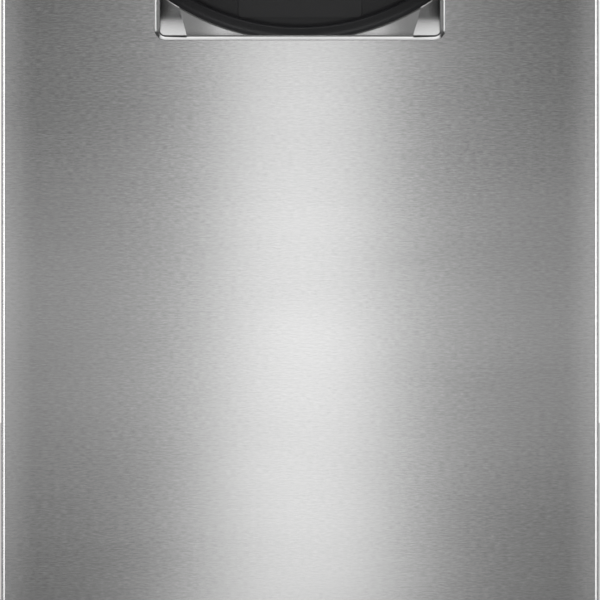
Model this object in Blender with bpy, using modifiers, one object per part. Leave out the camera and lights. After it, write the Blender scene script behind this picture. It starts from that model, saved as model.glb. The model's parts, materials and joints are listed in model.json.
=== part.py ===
"""An under-counter trash compactor: a bin drawer with a stainless front, and a ram on two power screws.

Metres, +Z up. The machine faces -Y, +X is the side at a viewer's right hand, and the origin lies on the floor
under the middle of the machine. Every piece is its own object, and each moving group hangs on an empty that
stands on its joint's axis.
"""

import math

import bmesh
import bpy
from mathutils import Matrix, Vector

# ------------------------------------------------------------------ driving dimensions

# The bin sets the machine's size: 0.380 wide, 0.616 deep and 0.868 high with the gaps and pieces below
BIN_WIDTH = 0.288
BIN_LENGTH = 0.400
BIN_HEIGHT = 0.335
BIN_WALL = 0.0020
BIN_CORNER = 0.012
BIN_RIM = 0.004
BIN_RIM_SHEET = 0.0025

# Room around the mechanism
SCREW_GAP = 0.004  # bin's rim to the nuts' flanges
WALL_GAP = 0.0028  # nuts' flanges to the cabinet's sides
PANEL_OVERHANG = 0.002  # drawer front and console past the cabinet's sides
MOTOR_FRONT_GAP = 0.0438  # bin to motor
MOTOR_REAR_GAP = 0.013
HEAD_ROOM = 0.0504  # crosshead to the underside of the cabinet's top

# Gaps
FIT = 0.0003  # between pieces that touch
RUN = 0.0004  # around a shaft that turns, and between sliding faces
THROUGH = 0.003  # how far a cutter reaches past the wall it cuts

# Sheet and wall thicknesses
WRAPPER_SHEET = 0.0012
REAR_SHEET = 0.0010
PAN_SHEET = 0.0020
KICK_SHEET = 0.0012
SKIN_SHEET = 0.0010
INNER_SHEET = 0.0010
TRACK_SHEET = 0.0016
FRAME_SHEET = 0.0016
TOP_FRAME_SHEET = 0.0025
RAM_SHEET = 0.0015
CROSSHEAD_WALL = 0.0040
CONSOLE_SKIN = 0.0010
CONSOLE_WALL = 0.0025

# Base, toe kick and feet
FOOT_HEIGHT = 0.026  # floor to the base pan's lower edge
BASE_HEIGHT = 0.070
WRAPPER_RISE = 0.004  # wrapper's lower edge above the base pan's
TOE_RECESS = 0.060  # toe kick behind the drawer's face
TOE_NOTCH_GAP = 0.004  # below the drawer front
KICK_LOW = 0.010
FOOT_INSET = 0.026  # foot axis from the base pan's corner, both ways
FOOT_PAD_RADIUS = 0.018
FOOT_PAD_HEIGHT = 0.006
FOOT_PAD_EDGE = 0.0035
FOOT_NUT_RADIUS = 0.010
FOOT_NUT_HEIGHT = 0.008
FOOT_STEM_RADIUS = 0.005
FOOT_STEM_ABOVE = 0.023  # stem above its corner plate
CORNER_PLATE = 0.046  # side of the plates that the feet screw into
CORNER_PLATE_SHEET = 0.003

# Drawer front
DRAWER_RISE = 0.009  # drawer front above the base pan
DRAWER_THICKNESS = 0.040
SKIN_RETURN = 0.030  # how far the skin's folded edges reach back
FOLD_RADIUS = 0.003
INNER_RETURN = 0.022
DOOR_GAP = 0.004  # drawer front's back to the cabinet

# Handle pocket
POCKET_WIDTH = 0.185
POCKET_HEIGHT = 0.060
POCKET_DROP = 0.035  # drawer front's top edge to the pocket
POCKET_CORNER = 0.0064
BEZEL_WIDTH = 0.0018
BEZEL_SET_BACK = 0.0002
SCOOP_FLANGE = 0.008
SCOOP_DEPTH = 0.012
SCOOP_BACK = 0.0012
SCOOP_SLOPE = 0.0170  # how far the scoop's side walls lean in
SCOOP_RIM = 0.0015
CUP_ARC = 0.175  # radius of the cup's lower edge
CUP_INSET = 0.0045  # cup's opening inside the pocket's sides
CUP_LIP = 0.0065  # the cup's face between its edge and its hollow
CUP_DEPTH = 0.021
CUP_BACK = 0.0025
GRIP_RISE = 0.012  # the cup's hollow above the pocket, where fingers curl
CUP_WALL = 0.0020

# Drawer frame, tracks and rollers
TRACK_GAP = 0.0005  # tracks to the lower bearings' flanges
TRACK_DEPTH = 0.020
TRACK_REAR_GAP = 0.018  # track's end to the rear panel
CABINET_ROLLER_RADIUS = 0.012
ROLLER_WIDTH = 0.008
ROLLER_SIDE_GAP = 0.0034
ROLLER_BORE = 0.0033
PIN_RADIUS = 0.0029
PIN_HEAD_RADIUS = 0.0055
PIN_HEAD = 0.0012
RAIL_CLEARANCE = 0.0008
WEB_GAP = 0.0015  # drawer rail's web inside the track's lips
CABINET_ROLLER_SET = 0.032  # front rollers behind the cabinet's front edge
ROLLER_STOP = 0.032  # rear rollers' axes behind the front rollers' with the drawer right out
RAIL_END = 0.016  # rail past its rear roller
FLOOR_RISE = 0.003  # drawer floor above the tracks
FLOOR_MARGIN = 0.014  # drawer floor past the bin
RAIL_LEDGE = 0.012  # what is left of the floor along the rails behind it
UPSTAND_HEIGHT = 0.060  # the drawer frame's front plate above its floor

# Ram
RAM_FLOOR_GAP = 0.0315  # ram's underside above the bin's floor at the lowest stroke
RAM_REST_GAP = 0.0185  # ram's underside above the bin at rest
RAM_SIDE_GAP = 0.0070  # ram plate to the bin's walls
RAM_PLATE = 0.008
RAM_HOUSING_INSET = 0.005  # housing inside the ram plate's edge
WIPER_GAP = 0.0025  # wiper to the bin's walls
WIPER_HEIGHT = 0.006
WIPER_CORNER = 0.004
CROSSHEAD_CLEAR = 0.0037  # crosshead over the bin's rim at the lowest stroke
CROSSHEAD_HEIGHT = 0.026
CROSSHEAD_LENGTH = 0.060  # along Y

# Power screws, nuts and bearings
SCREW_RADIUS = 0.009
LOWER_JOURNAL_RADIUS = 0.007
UPPER_JOURNAL_RADIUS = 0.006
NUT_RADIUS = 0.0125
NUT_FLANGE_RADIUS = 0.0160
NUT_FLANGE = 0.006
NUT_PROUD = 0.003  # nut above the crosshead
BEARING_RADIUS = 0.013
BEARING_HEIGHT = 0.016
BEARING_FLANGE_RADIUS = 0.0155
BEARING_FLANGE = 0.004
TOP_FRAME_HEIGHT = 0.020
TOP_FRAME_LENGTH = 0.080  # along Y

# Chain drive under the base pan
CHAIN_PITCH = 0.00635
SPROCKET_TEETH = 12
SPROCKET_THICKNESS = 0.0026
GEAR_CHAIN_GAP = 0.0089
SPROCKET_ROOT = 0.0018  # inside the pitch line
SPROCKET_TIP = 0.0012
SPROCKET_ROOT_SHARE = 0.62  # a tooth's width at its root and tip, as shares of the pitch
SPROCKET_TIP_SHARE = 0.24
SPROCKET_HUB_RADIUS = 0.0092
SPROCKET_HUB = 0.0070
CHAIN_HEIGHT = 0.0066
CHAIN_SLOT = 0.0034
CHAIN_INWARD = 0.0026  # link plates inside the pitch line
CHAIN_OUTWARD = 0.0029
CHAIN_WALL = 0.0009
SHAFT_NUT_RADIUS = 0.0090
SHAFT_NUT = 0.0060
GEAR_MODULE = 0.0020
GEAR_TEETH = 60
PINION_TEETH = 12
GEAR_FACE = 0.0090
GEAR_TOP_GAP = 0.0105  # drive gear below the base pan's floor
GEAR_SHAFT_RADIUS = 0.006
GEAR_HEAD_RADIUS = 0.0105
GEAR_HEAD = 0.004
PRESSURE_ANGLE = math.radians(25)
ADDENDUM = 0.85
DEDENDUM = 1.20
BACKLASH = 0.0003

# Motor
MOTOR_RADIUS = 0.056
MOTOR_HEIGHT = 0.150
MOTOR_BELL_RADIUS = 0.048
MOTOR_BELL = 0.016
MOTOR_SHAFT_RADIUS = 0.005
MOTOR_BORE_DEPTH = 0.020
MOTOR_PLATE = 0.003
MOTOR_PLATE_SIDE = 0.114
MOTOR_PLATE_CORNER = 0.008
MOTOR_PLATE_HOLE = 0.022

# Foot pedal and latch
PEDAL_TRAVEL = math.radians(12)
PEDAL_PIVOT_SET = 0.036  # pedal's pin behind the toe kick
PEDAL_PIVOT_DROP = 0.015  # pedal's pin below the base pan's top
PEDAL_PAD_WIDTH = 0.090
PEDAL_PAD_LENGTH = 0.036
PEDAL_PAD_CORNER = 0.008
PEDAL_PAD_FRONT = 0.006  # pad's front edge behind the drawer's face
PEDAL_PLATE = 0.006
PEDAL_ARM_WIDTH = 0.016
PEDAL_HUB_RADIUS = 0.0075
PEDAL_HUB_WIDTH = 0.024
PEDAL_PIN_RADIUS = 0.003
PEDAL_SLOT_GAP = 0.0010  # arm to the slots it moves in
BRACKET_SHEET = 0.0020
BRACKET_EAR_X = 0.024
BRACKET_EAR = 0.020
NOSE_REACH = 0.022  # latch nose in front of the pin
NOSE_LENGTH = 0.008
NOSE_WIDTH = 0.012
NOSE_CLEAR = 0.0005
STRIKE_REACH = 0.020  # below the drawer's floor
STRIKE_SHEET = 0.0016
STRIKE_TAB = 0.018
STRIKE_WIDTH = 0.026
SPRING_WIRE = 0.0007
SPRING_TURNS = 4
SPRING_COIL_RADIUS = 0.0050
SPRING_PITCH = 0.0017
SPRING_LEG = 0.016

# Console
CONSOLE_HEIGHT = 0.092
CONSOLE_GAP = 0.004  # above the drawer front
CONSOLE_TOP_GAP = 0.002  # below the cabinet's top
CONSOLE_SET_BACK = 0.012  # behind the drawer's face
CONSOLE_RETURN = 0.020
CONSOLE_SIDE_GAP = 0.003  # moulded housing inside the skin
INLAY_WIDTH = 0.300
INLAY_HEIGHT = 0.046
INLAY_THICKNESS = 0.0012
INLAY_CORNER = 0.004
SNAP_RISE = 0.0015  # how far a control's collar stands out behind the housing's wall
SNAP_DEPTH = 0.0020
SOFT_EDGE = 0.0008
KNOB_INSET = 0.038  # knob's axis inside the inlay's end
KNOB_RADIUS = 0.0165
KNOB_RISE = 0.0112
KNOB_BODY = 0.005  # its round body's height, under the grip
KNOB_TAPER = 0.001
KNOB_GRIP_WIDTH = 0.008
KNOB_GRIP_INSET = 0.0025
KNOB_SHAFT_RADIUS = 0.004
BUTTON_X = -0.030
BUTTON_RADIUS = 0.010
BUTTON_TRAVEL = 0.003
BUTTON_PROUD = 0.0015  # above the inlay when pressed
LENS_X = 0.030
LENS_RADIUS = 0.0035
LENS_RISE = 0.0010
ROCKER_INSET = 0.045  # rocker's middle inside the inlay's end
ROCKER_WIDTH = 0.014
ROCKER_HEIGHT = 0.026
ROCKER_TILT = math.radians(8)
ROCKER_DEPTH = 0.0055  # its face's ends in front of its axis
ROCKER_WAIST = 0.0030  # its face's middle in front of its axis
ROCKER_BACK = 0.0022
ROCKER_TAPER = 0.0026
ROCKER_GAP = 0.0012

# Odour fan, filter and electrics
FAN_DROP = 0.168  # fan's axis below the cabinet's top
FAN_RADIUS = 0.056
FAN_DEPTH = 0.046
FAN_WALL = 0.002
FAN_OUTLET_HEIGHT = 0.044
FAN_OUTLET_REACH = 0.078
FAN_INLET_RADIUS = 0.026
FAN_BOSS_RADIUS = 0.010
FAN_BOSS = 0.010
FAN_SHAFT_RADIUS = 0.003
WHEEL_RADIUS = 0.047
WHEEL_HUB_RADIUS = 0.010
WHEEL_BLADES = 12
WHEEL_BLADE_SHEET = 0.0016
WHEEL_DEPTH = 0.026
FILTER_SIDE = 0.112
FILTER_DEPTH = 0.022
FILTER_EDGE = 0.002
JUNCTION_SIDE_GAP = 0.0135
JUNCTION_RISE = 0.0275  # above the tracks
JUNCTION_WIDTH = 0.066
JUNCTION_DEPTH = 0.034
JUNCTION_HEIGHT = 0.056
JUNCTION_WALL = 0.002
GLAND_RADIUS = 0.011
GLAND_NECK_RADIUS = 0.0075
GLAND_BORE = 0.0042
GLAND_NOSE = 0.004
GLAND_REACH = 0.010
LIMIT_X = 0.070
LIMIT_SIZE = (0.020, 0.012, 0.018)
LIMIT_ROD_RADIUS = 0.0018
LIMIT_CLEAR = 0.0006  # rod above the crosshead at rest
DRAWER_SWITCH_SIZE = (0.018, 0.024, 0.018)
DRAWER_SWITCH_DROP = 0.170  # below the drawer front's top edge
DRAWER_SWITCH_SET = 0.004  # behind the cabinet's front edge
DRAWER_SWITCH_CLEAR = 0.0006  # lever to the closed drawer
DRAWER_SWITCH_LEVER = 0.004

# Wrapper's front flanges
FLANGE_WIDTH = 0.012

# How finely round things are drawn
SIDES = 24
SMALL_SIDES = 16

# ------------------------------------------------------------------ places worked out from them

DRAWER_PART = DRAWER_THICKNESS + FRAME_SHEET + 2 * FIT
MOTOR_PART = MOTOR_FRONT_GAP + 2 * MOTOR_RADIUS + MOTOR_REAR_GAP
DEPTH = DRAWER_PART + BIN_LENGTH + MOTOR_PART + REAR_SHEET + GLAND_NOSE
FRONT_Y = -DEPTH / 2
REAR_FACE_Y = DEPTH / 2 - GLAND_NOSE
REAR_INNER_Y = REAR_FACE_Y - REAR_SHEET
DRAWER_BACK_Y = FRONT_Y + DRAWER_THICKNESS
CABINET_FRONT_Y = DRAWER_BACK_Y + DOOR_GAP
SCREW_X = BIN_WIDTH / 2 + BIN_RIM + SCREW_GAP + NUT_FLANGE_RADIUS
INSIDE_X = SCREW_X + NUT_FLANGE_RADIUS + WALL_GAP
SEAT_X = INSIDE_X - FIT
CABINET_WIDTH = 2 * (INSIDE_X + WRAPPER_SHEET)
PANEL_WIDTH = CABINET_WIDTH + 2 * PANEL_OVERHANG

PAN_TOP = FOOT_HEIGHT + BASE_HEIGHT
KICK_Y = FRONT_Y + TOE_RECESS
PAN_FRONT_Y = KICK_Y + KICK_SHEET + FIT
PAN_REAR_Y = REAR_INNER_Y - FIT

TRACK_LOW = PAN_TOP + FIT
TRACK_FLOOR = TRACK_LOW + TRACK_SHEET
TRACK_OUTER_X = SCREW_X - BEARING_FLANGE_RADIUS - TRACK_GAP
TRACK_INNER_X = TRACK_OUTER_X - TRACK_DEPTH
CABINET_ROLLER_Z = TRACK_FLOOR + FIT + CABINET_ROLLER_RADIUS
RAIL_LOW = CABINET_ROLLER_Z + CABINET_ROLLER_RADIUS + FIT
RAIL_TOP = RAIL_LOW + FRAME_SHEET
TRACK_CEILING = RAIL_TOP + RAIL_CLEARANCE
TRACK_TOP = TRACK_CEILING + TRACK_SHEET
DRAWER_ROLLER_RADIUS = (TRACK_CEILING - TRACK_FLOOR) / 2 - FIT
DRAWER_ROLLER_Z = (TRACK_CEILING + TRACK_FLOOR) / 2
ROLLER_X = TRACK_OUTER_X - TRACK_SHEET - ROLLER_SIDE_GAP - ROLLER_WIDTH / 2
WEB_X = TRACK_INNER_X - WEB_GAP
TRACK_END_Y = REAR_INNER_Y - TRACK_REAR_GAP
CABINET_ROLLER_Y = CABINET_FRONT_Y + CABINET_ROLLER_SET
DRAWER_ROLLER_Y = CABINET_ROLLER_Y + ROLLER_STOP + BIN_LENGTH
FLOOR_LOW = TRACK_TOP + FLOOR_RISE
FLOOR_TOP = FLOOR_LOW + FRAME_SHEET

BIN_LOW = FLOOR_TOP + FIT
BIN_TOP = BIN_LOW + BIN_HEIGHT
BIN_FRONT_Y = DRAWER_BACK_Y + FRAME_SHEET + 2 * FIT
RAM_Y = BIN_FRONT_Y + BIN_LENGTH / 2

RAM_LOW = BIN_TOP + RAM_REST_GAP
RAM_TRAVEL = RAM_LOW - BIN_LOW - BIN_WALL - RAM_FLOOR_GAP
RAM_HALF_X = BIN_WIDTH / 2 - BIN_WALL - RAM_SIDE_GAP
RAM_HALF_Y = BIN_LENGTH / 2 - BIN_WALL - RAM_SIDE_GAP
CROSSHEAD_LOW = BIN_TOP + CROSSHEAD_CLEAR + RAM_TRAVEL
CROSSHEAD_TOP = CROSSHEAD_LOW + CROSSHEAD_HEIGHT

UNDER_TOP = CROSSHEAD_TOP + HEAD_ROOM
HEIGHT = UNDER_TOP + FIT + WRAPPER_SHEET
TOP_FRAME_LOW = UNDER_TOP - TOP_FRAME_HEIGHT
TOP_BEARING_TOP = UNDER_TOP - TOP_FRAME_SHEET - FIT
LOWER_BEARING_LOW = PAN_TOP + FIT
LOWER_BEARING_TOP = LOWER_BEARING_LOW + BEARING_HEIGHT
UPPER_BEARING_LOW = TOP_BEARING_TOP - BEARING_HEIGHT

SPROCKET_RADIUS = CHAIN_PITCH / (2 * math.sin(math.pi / SPROCKET_TEETH))
MOTOR_Y = REAR_INNER_Y - MOTOR_REAR_GAP - MOTOR_RADIUS
GEAR_Y = MOTOR_Y - GEAR_MODULE * (GEAR_TEETH + PINION_TEETH) / 2
GEAR_LOW = PAN_TOP - PAN_SHEET - GEAR_TOP_GAP - GEAR_FACE
CHAIN_Z = GEAR_LOW - GEAR_CHAIN_GAP - CHAIN_HEIGHT / 2
SPROCKET_LOW = CHAIN_Z - SPROCKET_THICKNESS / 2
MOTOR_LOW = PAN_TOP + MOTOR_PLATE + 2 * FIT

CONSOLE_TOP = HEIGHT - CONSOLE_TOP_GAP
CONSOLE_LOW = CONSOLE_TOP - CONSOLE_HEIGHT
DRAWER_TOP = CONSOLE_LOW - CONSOLE_GAP
DRAWER_BOTTOM = PAN_TOP + DRAWER_RISE
TOE_NOTCH_TOP = DRAWER_BOTTOM - TOE_NOTCH_GAP
WRAPPER_LOW = FOOT_HEIGHT + WRAPPER_RISE
POCKET_TOP = DRAWER_TOP - POCKET_DROP
POCKET_LOW = POCKET_TOP - POCKET_HEIGHT
CUP_HALF_WIDTH = POCKET_WIDTH / 2 - CUP_INSET

PEDAL_PIVOT_Y = KICK_Y + PEDAL_PIVOT_SET
PEDAL_PIVOT_Z = PAN_TOP - PEDAL_PIVOT_DROP
NOSE_Y = PEDAL_PIVOT_Y - NOSE_REACH

CONSOLE_Y = FRONT_Y + CONSOLE_SET_BACK
CONTROL_Z = (CONSOLE_LOW + CONSOLE_TOP) / 2
KNOB_X = KNOB_INSET - INLAY_WIDTH / 2
ROCKER_X = INLAY_WIDTH / 2 - ROCKER_INSET
INLAY_FRONT_Y = CONSOLE_Y + 0.0002
HOUSING_FRONT_Y = CONSOLE_Y + INLAY_THICKNESS + 2 * FIT
HOUSING_BACK_Y = CABINET_FRONT_Y - FIT
BUTTON_RISE = BUTTON_TRAVEL + BUTTON_PROUD

FAN_Z = HEIGHT - FAN_DROP
JUNCTION_X = -(SEAT_X - JUNCTION_SIDE_GAP - JUNCTION_WIDTH / 2)
JUNCTION_Z = TRACK_TOP + JUNCTION_RISE + JUNCTION_HEIGHT / 2
DRAWER_SWITCH_Z = DRAWER_TOP - DRAWER_SWITCH_DROP

# ------------------------------------------------------------------ scene and materials

for stale in list(bpy.data.objects):
    bpy.data.objects.remove(stale, do_unlink=True)

PIECES = bpy.data.collections.new("trash_compactor")
CUTTERS = bpy.data.collections.new("cutters")
for collection in (PIECES, CUTTERS):
    bpy.context.scene.collection.children.link(collection)


def material(name, colour, roughness, metallic=0.0):
    """A Principled BSDF material of one colour."""
    made = bpy.data.materials.new(name)
    made.use_nodes = True
    shader = made.node_tree.nodes["Principled BSDF"]
    shader.inputs["Base Color"].default_value = (*colour, 1.0)
    shader.inputs["Roughness"].default_value = roughness
    shader.inputs["Metallic"].default_value = metallic
    return made


BRUSHED = material("brushed_stainless", (0.60, 0.60, 0.60), 0.32, 1.0)
SATIN = material("satin_stainless", (0.72, 0.72, 0.72), 0.22, 1.0)
BLACK = material("black_moulded", (0.020, 0.020, 0.022), 0.38)
GLOSS_BLACK = material("black_gloss", (0.010, 0.010, 0.012), 0.12)
PAINTED = material("painted_steel", (0.055, 0.057, 0.060), 0.45)
GALVANISED = material("galvanised_steel", (0.52, 0.54, 0.56), 0.42, 1.0)
BRIGHT = material("bright_steel", (0.62, 0.62, 0.62), 0.25, 1.0)
BRONZE = material("bronze", (0.55, 0.36, 0.16), 0.35, 1.0)
NYLON = material("white_nylon", (0.72, 0.71, 0.66), 0.45)
RUBBER = material("black_rubber", (0.018, 0.018, 0.018), 0.75)
FELT = material("grey_felt", (0.22, 0.22, 0.23), 0.95)
LENS = material("amber_lens", (0.80, 0.30, 0.04), 0.15)
CARBON = material("filter_carbon", (0.03, 0.03, 0.03), 0.90)

# ------------------------------------------------------------------ modelling helpers


def group(name, at):
    """An empty on a joint's axis, which carries the pieces that move together."""
    empty = bpy.data.objects.new(name, None)
    empty.location = at
    PIECES.objects.link(empty)
    return empty


def add_piece(name, mesh, finish, at=(0, 0, 0), carrier=None, turn=(0, 0, 0)):
    """Add a piece at a place in the world, held by its carrier if it moves."""
    mesh.name = name
    mesh.materials.append(finish)
    piece = bpy.data.objects.new(name, mesh)
    piece.parent = carrier
    piece.location = Vector(at) - (carrier.location if carrier else Vector())
    piece.rotation_euler = turn
    PIECES.objects.link(piece)
    return piece


def add_tool(name, mesh, at=(0, 0, 0), turn=(0, 0, 0)):
    """Add a helper solid that cuts or joins a piece, and isn't a piece itself."""
    mesh.name = name
    tool = bpy.data.objects.new(name, mesh)
    tool.location = at
    tool.rotation_euler = turn
    tool.hide_render = True
    tool.display_type = "WIRE"
    CUTTERS.objects.link(tool)
    return tool


def combine(piece, tool, operation):
    step = piece.modifiers.new(tool.name, "BOOLEAN")
    step.operation = operation
    step.solver = "EXACT"
    step.object = tool


def cut(piece, tool):
    combine(piece, tool, "DIFFERENCE")


def join(piece, tool):
    combine(piece, tool, "UNION")


def to_mesh(work):
    """A mesh from a bmesh, which is freed."""
    mesh = bpy.data.meshes.new("shape")
    work.to_mesh(mesh)
    work.free()
    return mesh


def box_mesh(size):
    work = bmesh.new()
    bmesh.ops.create_cube(work, size=1.0)
    bmesh.ops.scale(work, vec=size, verts=work.verts)
    return to_mesh(work)


def middle(low, high):
    return (Vector(low) + Vector(high)) / 2


def spread(low, high):
    return Vector(high) - Vector(low)


def soften(piece, radius, segments=2):
    """Round a piece's edges."""
    step = piece.modifiers.new("rounded_edges", "BEVEL")
    step.width = radius
    step.segments = segments
    step.limit_method = "ANGLE"


def box(name, low, high, finish, carrier=None, rounded=0.0):
    piece = add_piece(name, box_mesh(spread(low, high)), finish, middle(low, high), carrier)
    if rounded:
        soften(piece, rounded)
    return piece


def box_tool(name, low, high):
    return add_tool(name, box_mesh(spread(low, high)), middle(low, high))


def open_box_mesh(size, missing):
    """A box without the faces that look along the directions in missing."""
    work = bmesh.new()
    bmesh.ops.create_cube(work, size=1.0)
    bmesh.ops.scale(work, vec=size, verts=work.verts)
    work.normal_update()
    gone = [face for face in work.faces if any(face.normal.dot(Vector(way)) > 0.9 for way in missing)]
    bmesh.ops.delete(work, geom=gone, context="FACES")
    return to_mesh(work)


def shell(name, low, high, missing, wall, finish, carrier=None, rounded=0.0, segments=3):
    """A folded or moulded shell: an open box, rounded, and thickened inwards."""
    piece = add_piece(name, open_box_mesh(spread(low, high), missing), finish, middle(low, high), carrier)
    if rounded:
        soften(piece, rounded, segments)
    step = piece.modifiers.new("wall", "SOLIDIFY")
    step.thickness = wall
    step.offset = -1
    step.use_even_offset = True
    return piece


TURN_TO = {"X": (0, math.pi / 2, 0), "Y": (-math.pi / 2, 0, 0), "Z": (0, 0, 0)}


def round_tool(name, radius, low, high, axis="Z", sides=SIDES):
    """A cylinder between two points that lie along an axis."""
    work = bmesh.new()
    length = spread(low, high).length
    bmesh.ops.create_cone(work, cap_ends=True, segments=sides, radius1=radius, radius2=radius, depth=length)
    return add_tool(name, to_mesh(work), middle(low, high), TURN_TO[axis])


def profile_mesh(profile):
    """The edge of a turned shape: (radius, height) points, closed unless both ends lie on the axis."""
    mesh = bpy.data.meshes.new("profile")
    count = len(profile)
    edges = [(i, i + 1) for i in range(count - 1)]
    if profile[0][0] > 0 or profile[-1][0] > 0:
        edges.append((count - 1, 0))
    mesh.from_pydata([(radius, 0, height) for radius, height in profile], edges, [])
    return mesh


def spin(piece, sides):
    step = piece.modifiers.new("turned", "SCREW")
    step.axis = "Z"
    step.angle = 2 * math.pi
    step.steps = sides
    step.render_steps = sides
    step.use_merge_vertices = True
    step.merge_threshold = 0.00002
    return piece


def turned(name, profile, finish, at, axis="Z", carrier=None, sides=SIDES):
    """A turned piece: its profile runs down the outer side, top to bottom."""
    return spin(add_piece(name, profile_mesh(profile), finish, at, carrier, TURN_TO[axis]), sides)


def turned_tool(name, profile, at, axis="Z", sides=SIDES):
    return spin(add_tool(name, profile_mesh(profile), at, TURN_TO[axis]), sides)


def ring_profile(outer, inner, low, high):
    return [(outer, high), (outer, low), (inner, low), (inner, high)]


PLANES = {
    "XY": Matrix.Identity(4),
    "XZ": Matrix.Rotation(math.pi / 2, 4, "X"),
    "YZ": Matrix(((0, 0, 1, 0), (1, 0, 0, 0), (0, 1, 0, 0), (0, 0, 0, 1))),
}


def outline_mesh(loops, thickness, plane):
    """A flat outline, its holes left open, with a thickness across its plane."""
    curve = bpy.data.curves.new("outline", "CURVE")
    curve.dimensions = "2D"
    curve.fill_mode = "BOTH"
    curve.extrude = thickness / 2
    for loop in loops:
        spline = curve.splines.new("POLY")
        spline.points.add(len(loop) - 1)
        for point, (a, b) in zip(spline.points, loop):
            point.co = (a, b, 0, 1)
        spline.use_cyclic_u = True
    drawn = bpy.data.objects.new("outline", curve)
    CUTTERS.objects.link(drawn)
    bpy.context.view_layer.update()
    mesh = bpy.data.meshes.new_from_object(drawn.evaluated_get(bpy.context.evaluated_depsgraph_get()))
    bpy.data.objects.remove(drawn)
    bpy.data.curves.remove(curve)
    work = bmesh.new()
    work.from_mesh(mesh)
    bpy.data.meshes.remove(mesh)
    bmesh.ops.remove_doubles(work, verts=work.verts, dist=1e-7)
    bmesh.ops.transform(work, matrix=PLANES[plane], verts=work.verts)
    bmesh.ops.recalc_face_normals(work, faces=work.faces)
    return to_mesh(work)


def rounded_rect(low, high, radius, steps=5):
    """The points of a rectangle with round corners, anticlockwise."""
    corners = (
        (high[0] - radius, high[1] - radius, 0.0),
        (low[0] + radius, high[1] - radius, 0.5),
        (low[0] + radius, low[1] + radius, 1.0),
        (high[0] - radius, low[1] + radius, 1.5),
    )
    points = []
    for a, b, start in corners:
        for i in range(steps + 1):
            angle = math.pi * (start + 0.5 * i / steps)
            points.append((a + radius * math.cos(angle), b + radius * math.sin(angle)))
    return points


def rectangle(low, high):
    return [(low[0], low[1]), (high[0], low[1]), (high[0], high[1]), (low[0], high[1])]


def across(low_y, high_y):
    """Thickness and middle of a plate that spans two planes across Y."""
    return high_y - low_y, (0, (low_y + high_y) / 2, 0)


def circle(centre, radius, sides=SIDES):
    return [
        (
            centre[0] + radius * math.cos(2 * math.pi * i / sides),
            centre[1] + radius * math.sin(2 * math.pi * i / sides),
        )
        for i in range(sides)
    ]


# ------------------------------------------------------------------ moving groups

drawer = group("drawer", (0, DRAWER_BACK_Y, FLOOR_TOP))
ram = group("ram", (0, RAM_Y, CROSSHEAD_LOW))
SIDE_NAMES = {"left": -1, "right": 1}

# ------------------------------------------------------------------ base pan, toe kick and feet


def foot_places():
    x = SEAT_X - FOOT_INSET
    return {
        "front_left": (-x, PAN_FRONT_Y + FOOT_INSET),
        "front_right": (x, PAN_FRONT_Y + FOOT_INSET),
        "rear_left": (-x, PAN_REAR_Y - FOOT_INSET),
        "rear_right": (x, PAN_REAR_Y - FOOT_INSET),
    }


def make_base_pan():
    """An upturned tray that carries the tracks, the screws' lower bearings and the motor."""
    pan = shell(
        "base_pan",
        (-SEAT_X, PAN_FRONT_Y, FOOT_HEIGHT),
        (SEAT_X, PAN_REAR_Y, PAN_TOP),
        [(0, 0, -1)],
        PAN_SHEET,
        GALVANISED,
    )
    half = CORNER_PLATE / 2
    for place, (x, y) in foot_places().items():
        out_x = math.copysign(SEAT_X - PAN_SHEET / 2, x)
        out_y = PAN_FRONT_Y + PAN_SHEET / 2 if "front" in place else PAN_REAR_Y - PAN_SHEET / 2
        in_x = x - math.copysign(half, x)
        in_y = y + half if "front" in place else y - half
        low = (min(out_x, in_x), min(out_y, in_y), FOOT_HEIGHT)
        high = (max(out_x, in_x), max(out_y, in_y), FOOT_HEIGHT + CORNER_PLATE_SHEET)
        join(pan, box_tool(f"corner_plate_{place}", low, high))
        cut(pan, hole_z(f"foot_hole_{place}", FOOT_STEM_RADIUS + RUN, x, y, FOOT_HEIGHT, SMALL_SIDES))
    for side, sign in SIDE_NAMES.items():
        cut(pan, hole_z(f"screw_hole_{side}", LOWER_JOURNAL_RADIUS + RUN, sign * SCREW_X, RAM_Y, PAN_TOP))
    cut(pan, hole_z("gear_shaft_hole", GEAR_SHAFT_RADIUS + RUN, 0, GEAR_Y, PAN_TOP))
    cut(pan, hole_z("motor_shaft_hole", MOTOR_PLATE_HOLE, 0, MOTOR_Y, PAN_TOP))
    arm = PEDAL_ARM_WIDTH / 2 + PEDAL_SLOT_GAP
    cut(
        pan,
        box_tool(
            "pedal_arm_notch",
            (-arm, PAN_FRONT_Y - THROUGH, pedal_slot_low(PAN_FRONT_Y)),
            (arm, PAN_FRONT_Y + PAN_SHEET + THROUGH, PAN_TOP - PAN_SHEET - THROUGH / 2),
        ),
    )
    nose = NOSE_WIDTH / 2 + PEDAL_SLOT_GAP
    cut(
        pan,
        box_tool(
            "latch_slot",
            (-nose, nose_swing() - PEDAL_SLOT_GAP, PAN_TOP - PAN_SHEET - THROUGH),
            (nose, NOSE_Y + NOSE_LENGTH / 2 + 3 * PEDAL_SLOT_GAP, PAN_TOP + THROUGH),
        ),
    )


def hole_z(name, radius, x, y, z, sides=SIDES):
    """An upright round cutter through a sheet at height z."""
    return round_tool(name, radius, (x, y, z - 2 * THROUGH), (x, y, z + 2 * THROUGH), "Z", sides)


def pedal_slot_low(y):
    """The lower end of a slot that the pedal's arm goes down in, at a place in front of its pin."""
    drop = (PEDAL_PIVOT_Y - y) * math.sin(PEDAL_TRAVEL)
    return PEDAL_PIVOT_Z - PEDAL_PLATE / 2 - drop - PEDAL_SLOT_GAP


def nose_swing():
    """How far forward the latch nose's front comes, at the base pan's top, with the pedal right down."""
    front = NOSE_REACH + NOSE_LENGTH / 2
    height = PAN_TOP - PEDAL_PIVOT_Z
    return PEDAL_PIVOT_Y - front / math.cos(PEDAL_TRAVEL) - height * math.tan(PEDAL_TRAVEL)


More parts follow.
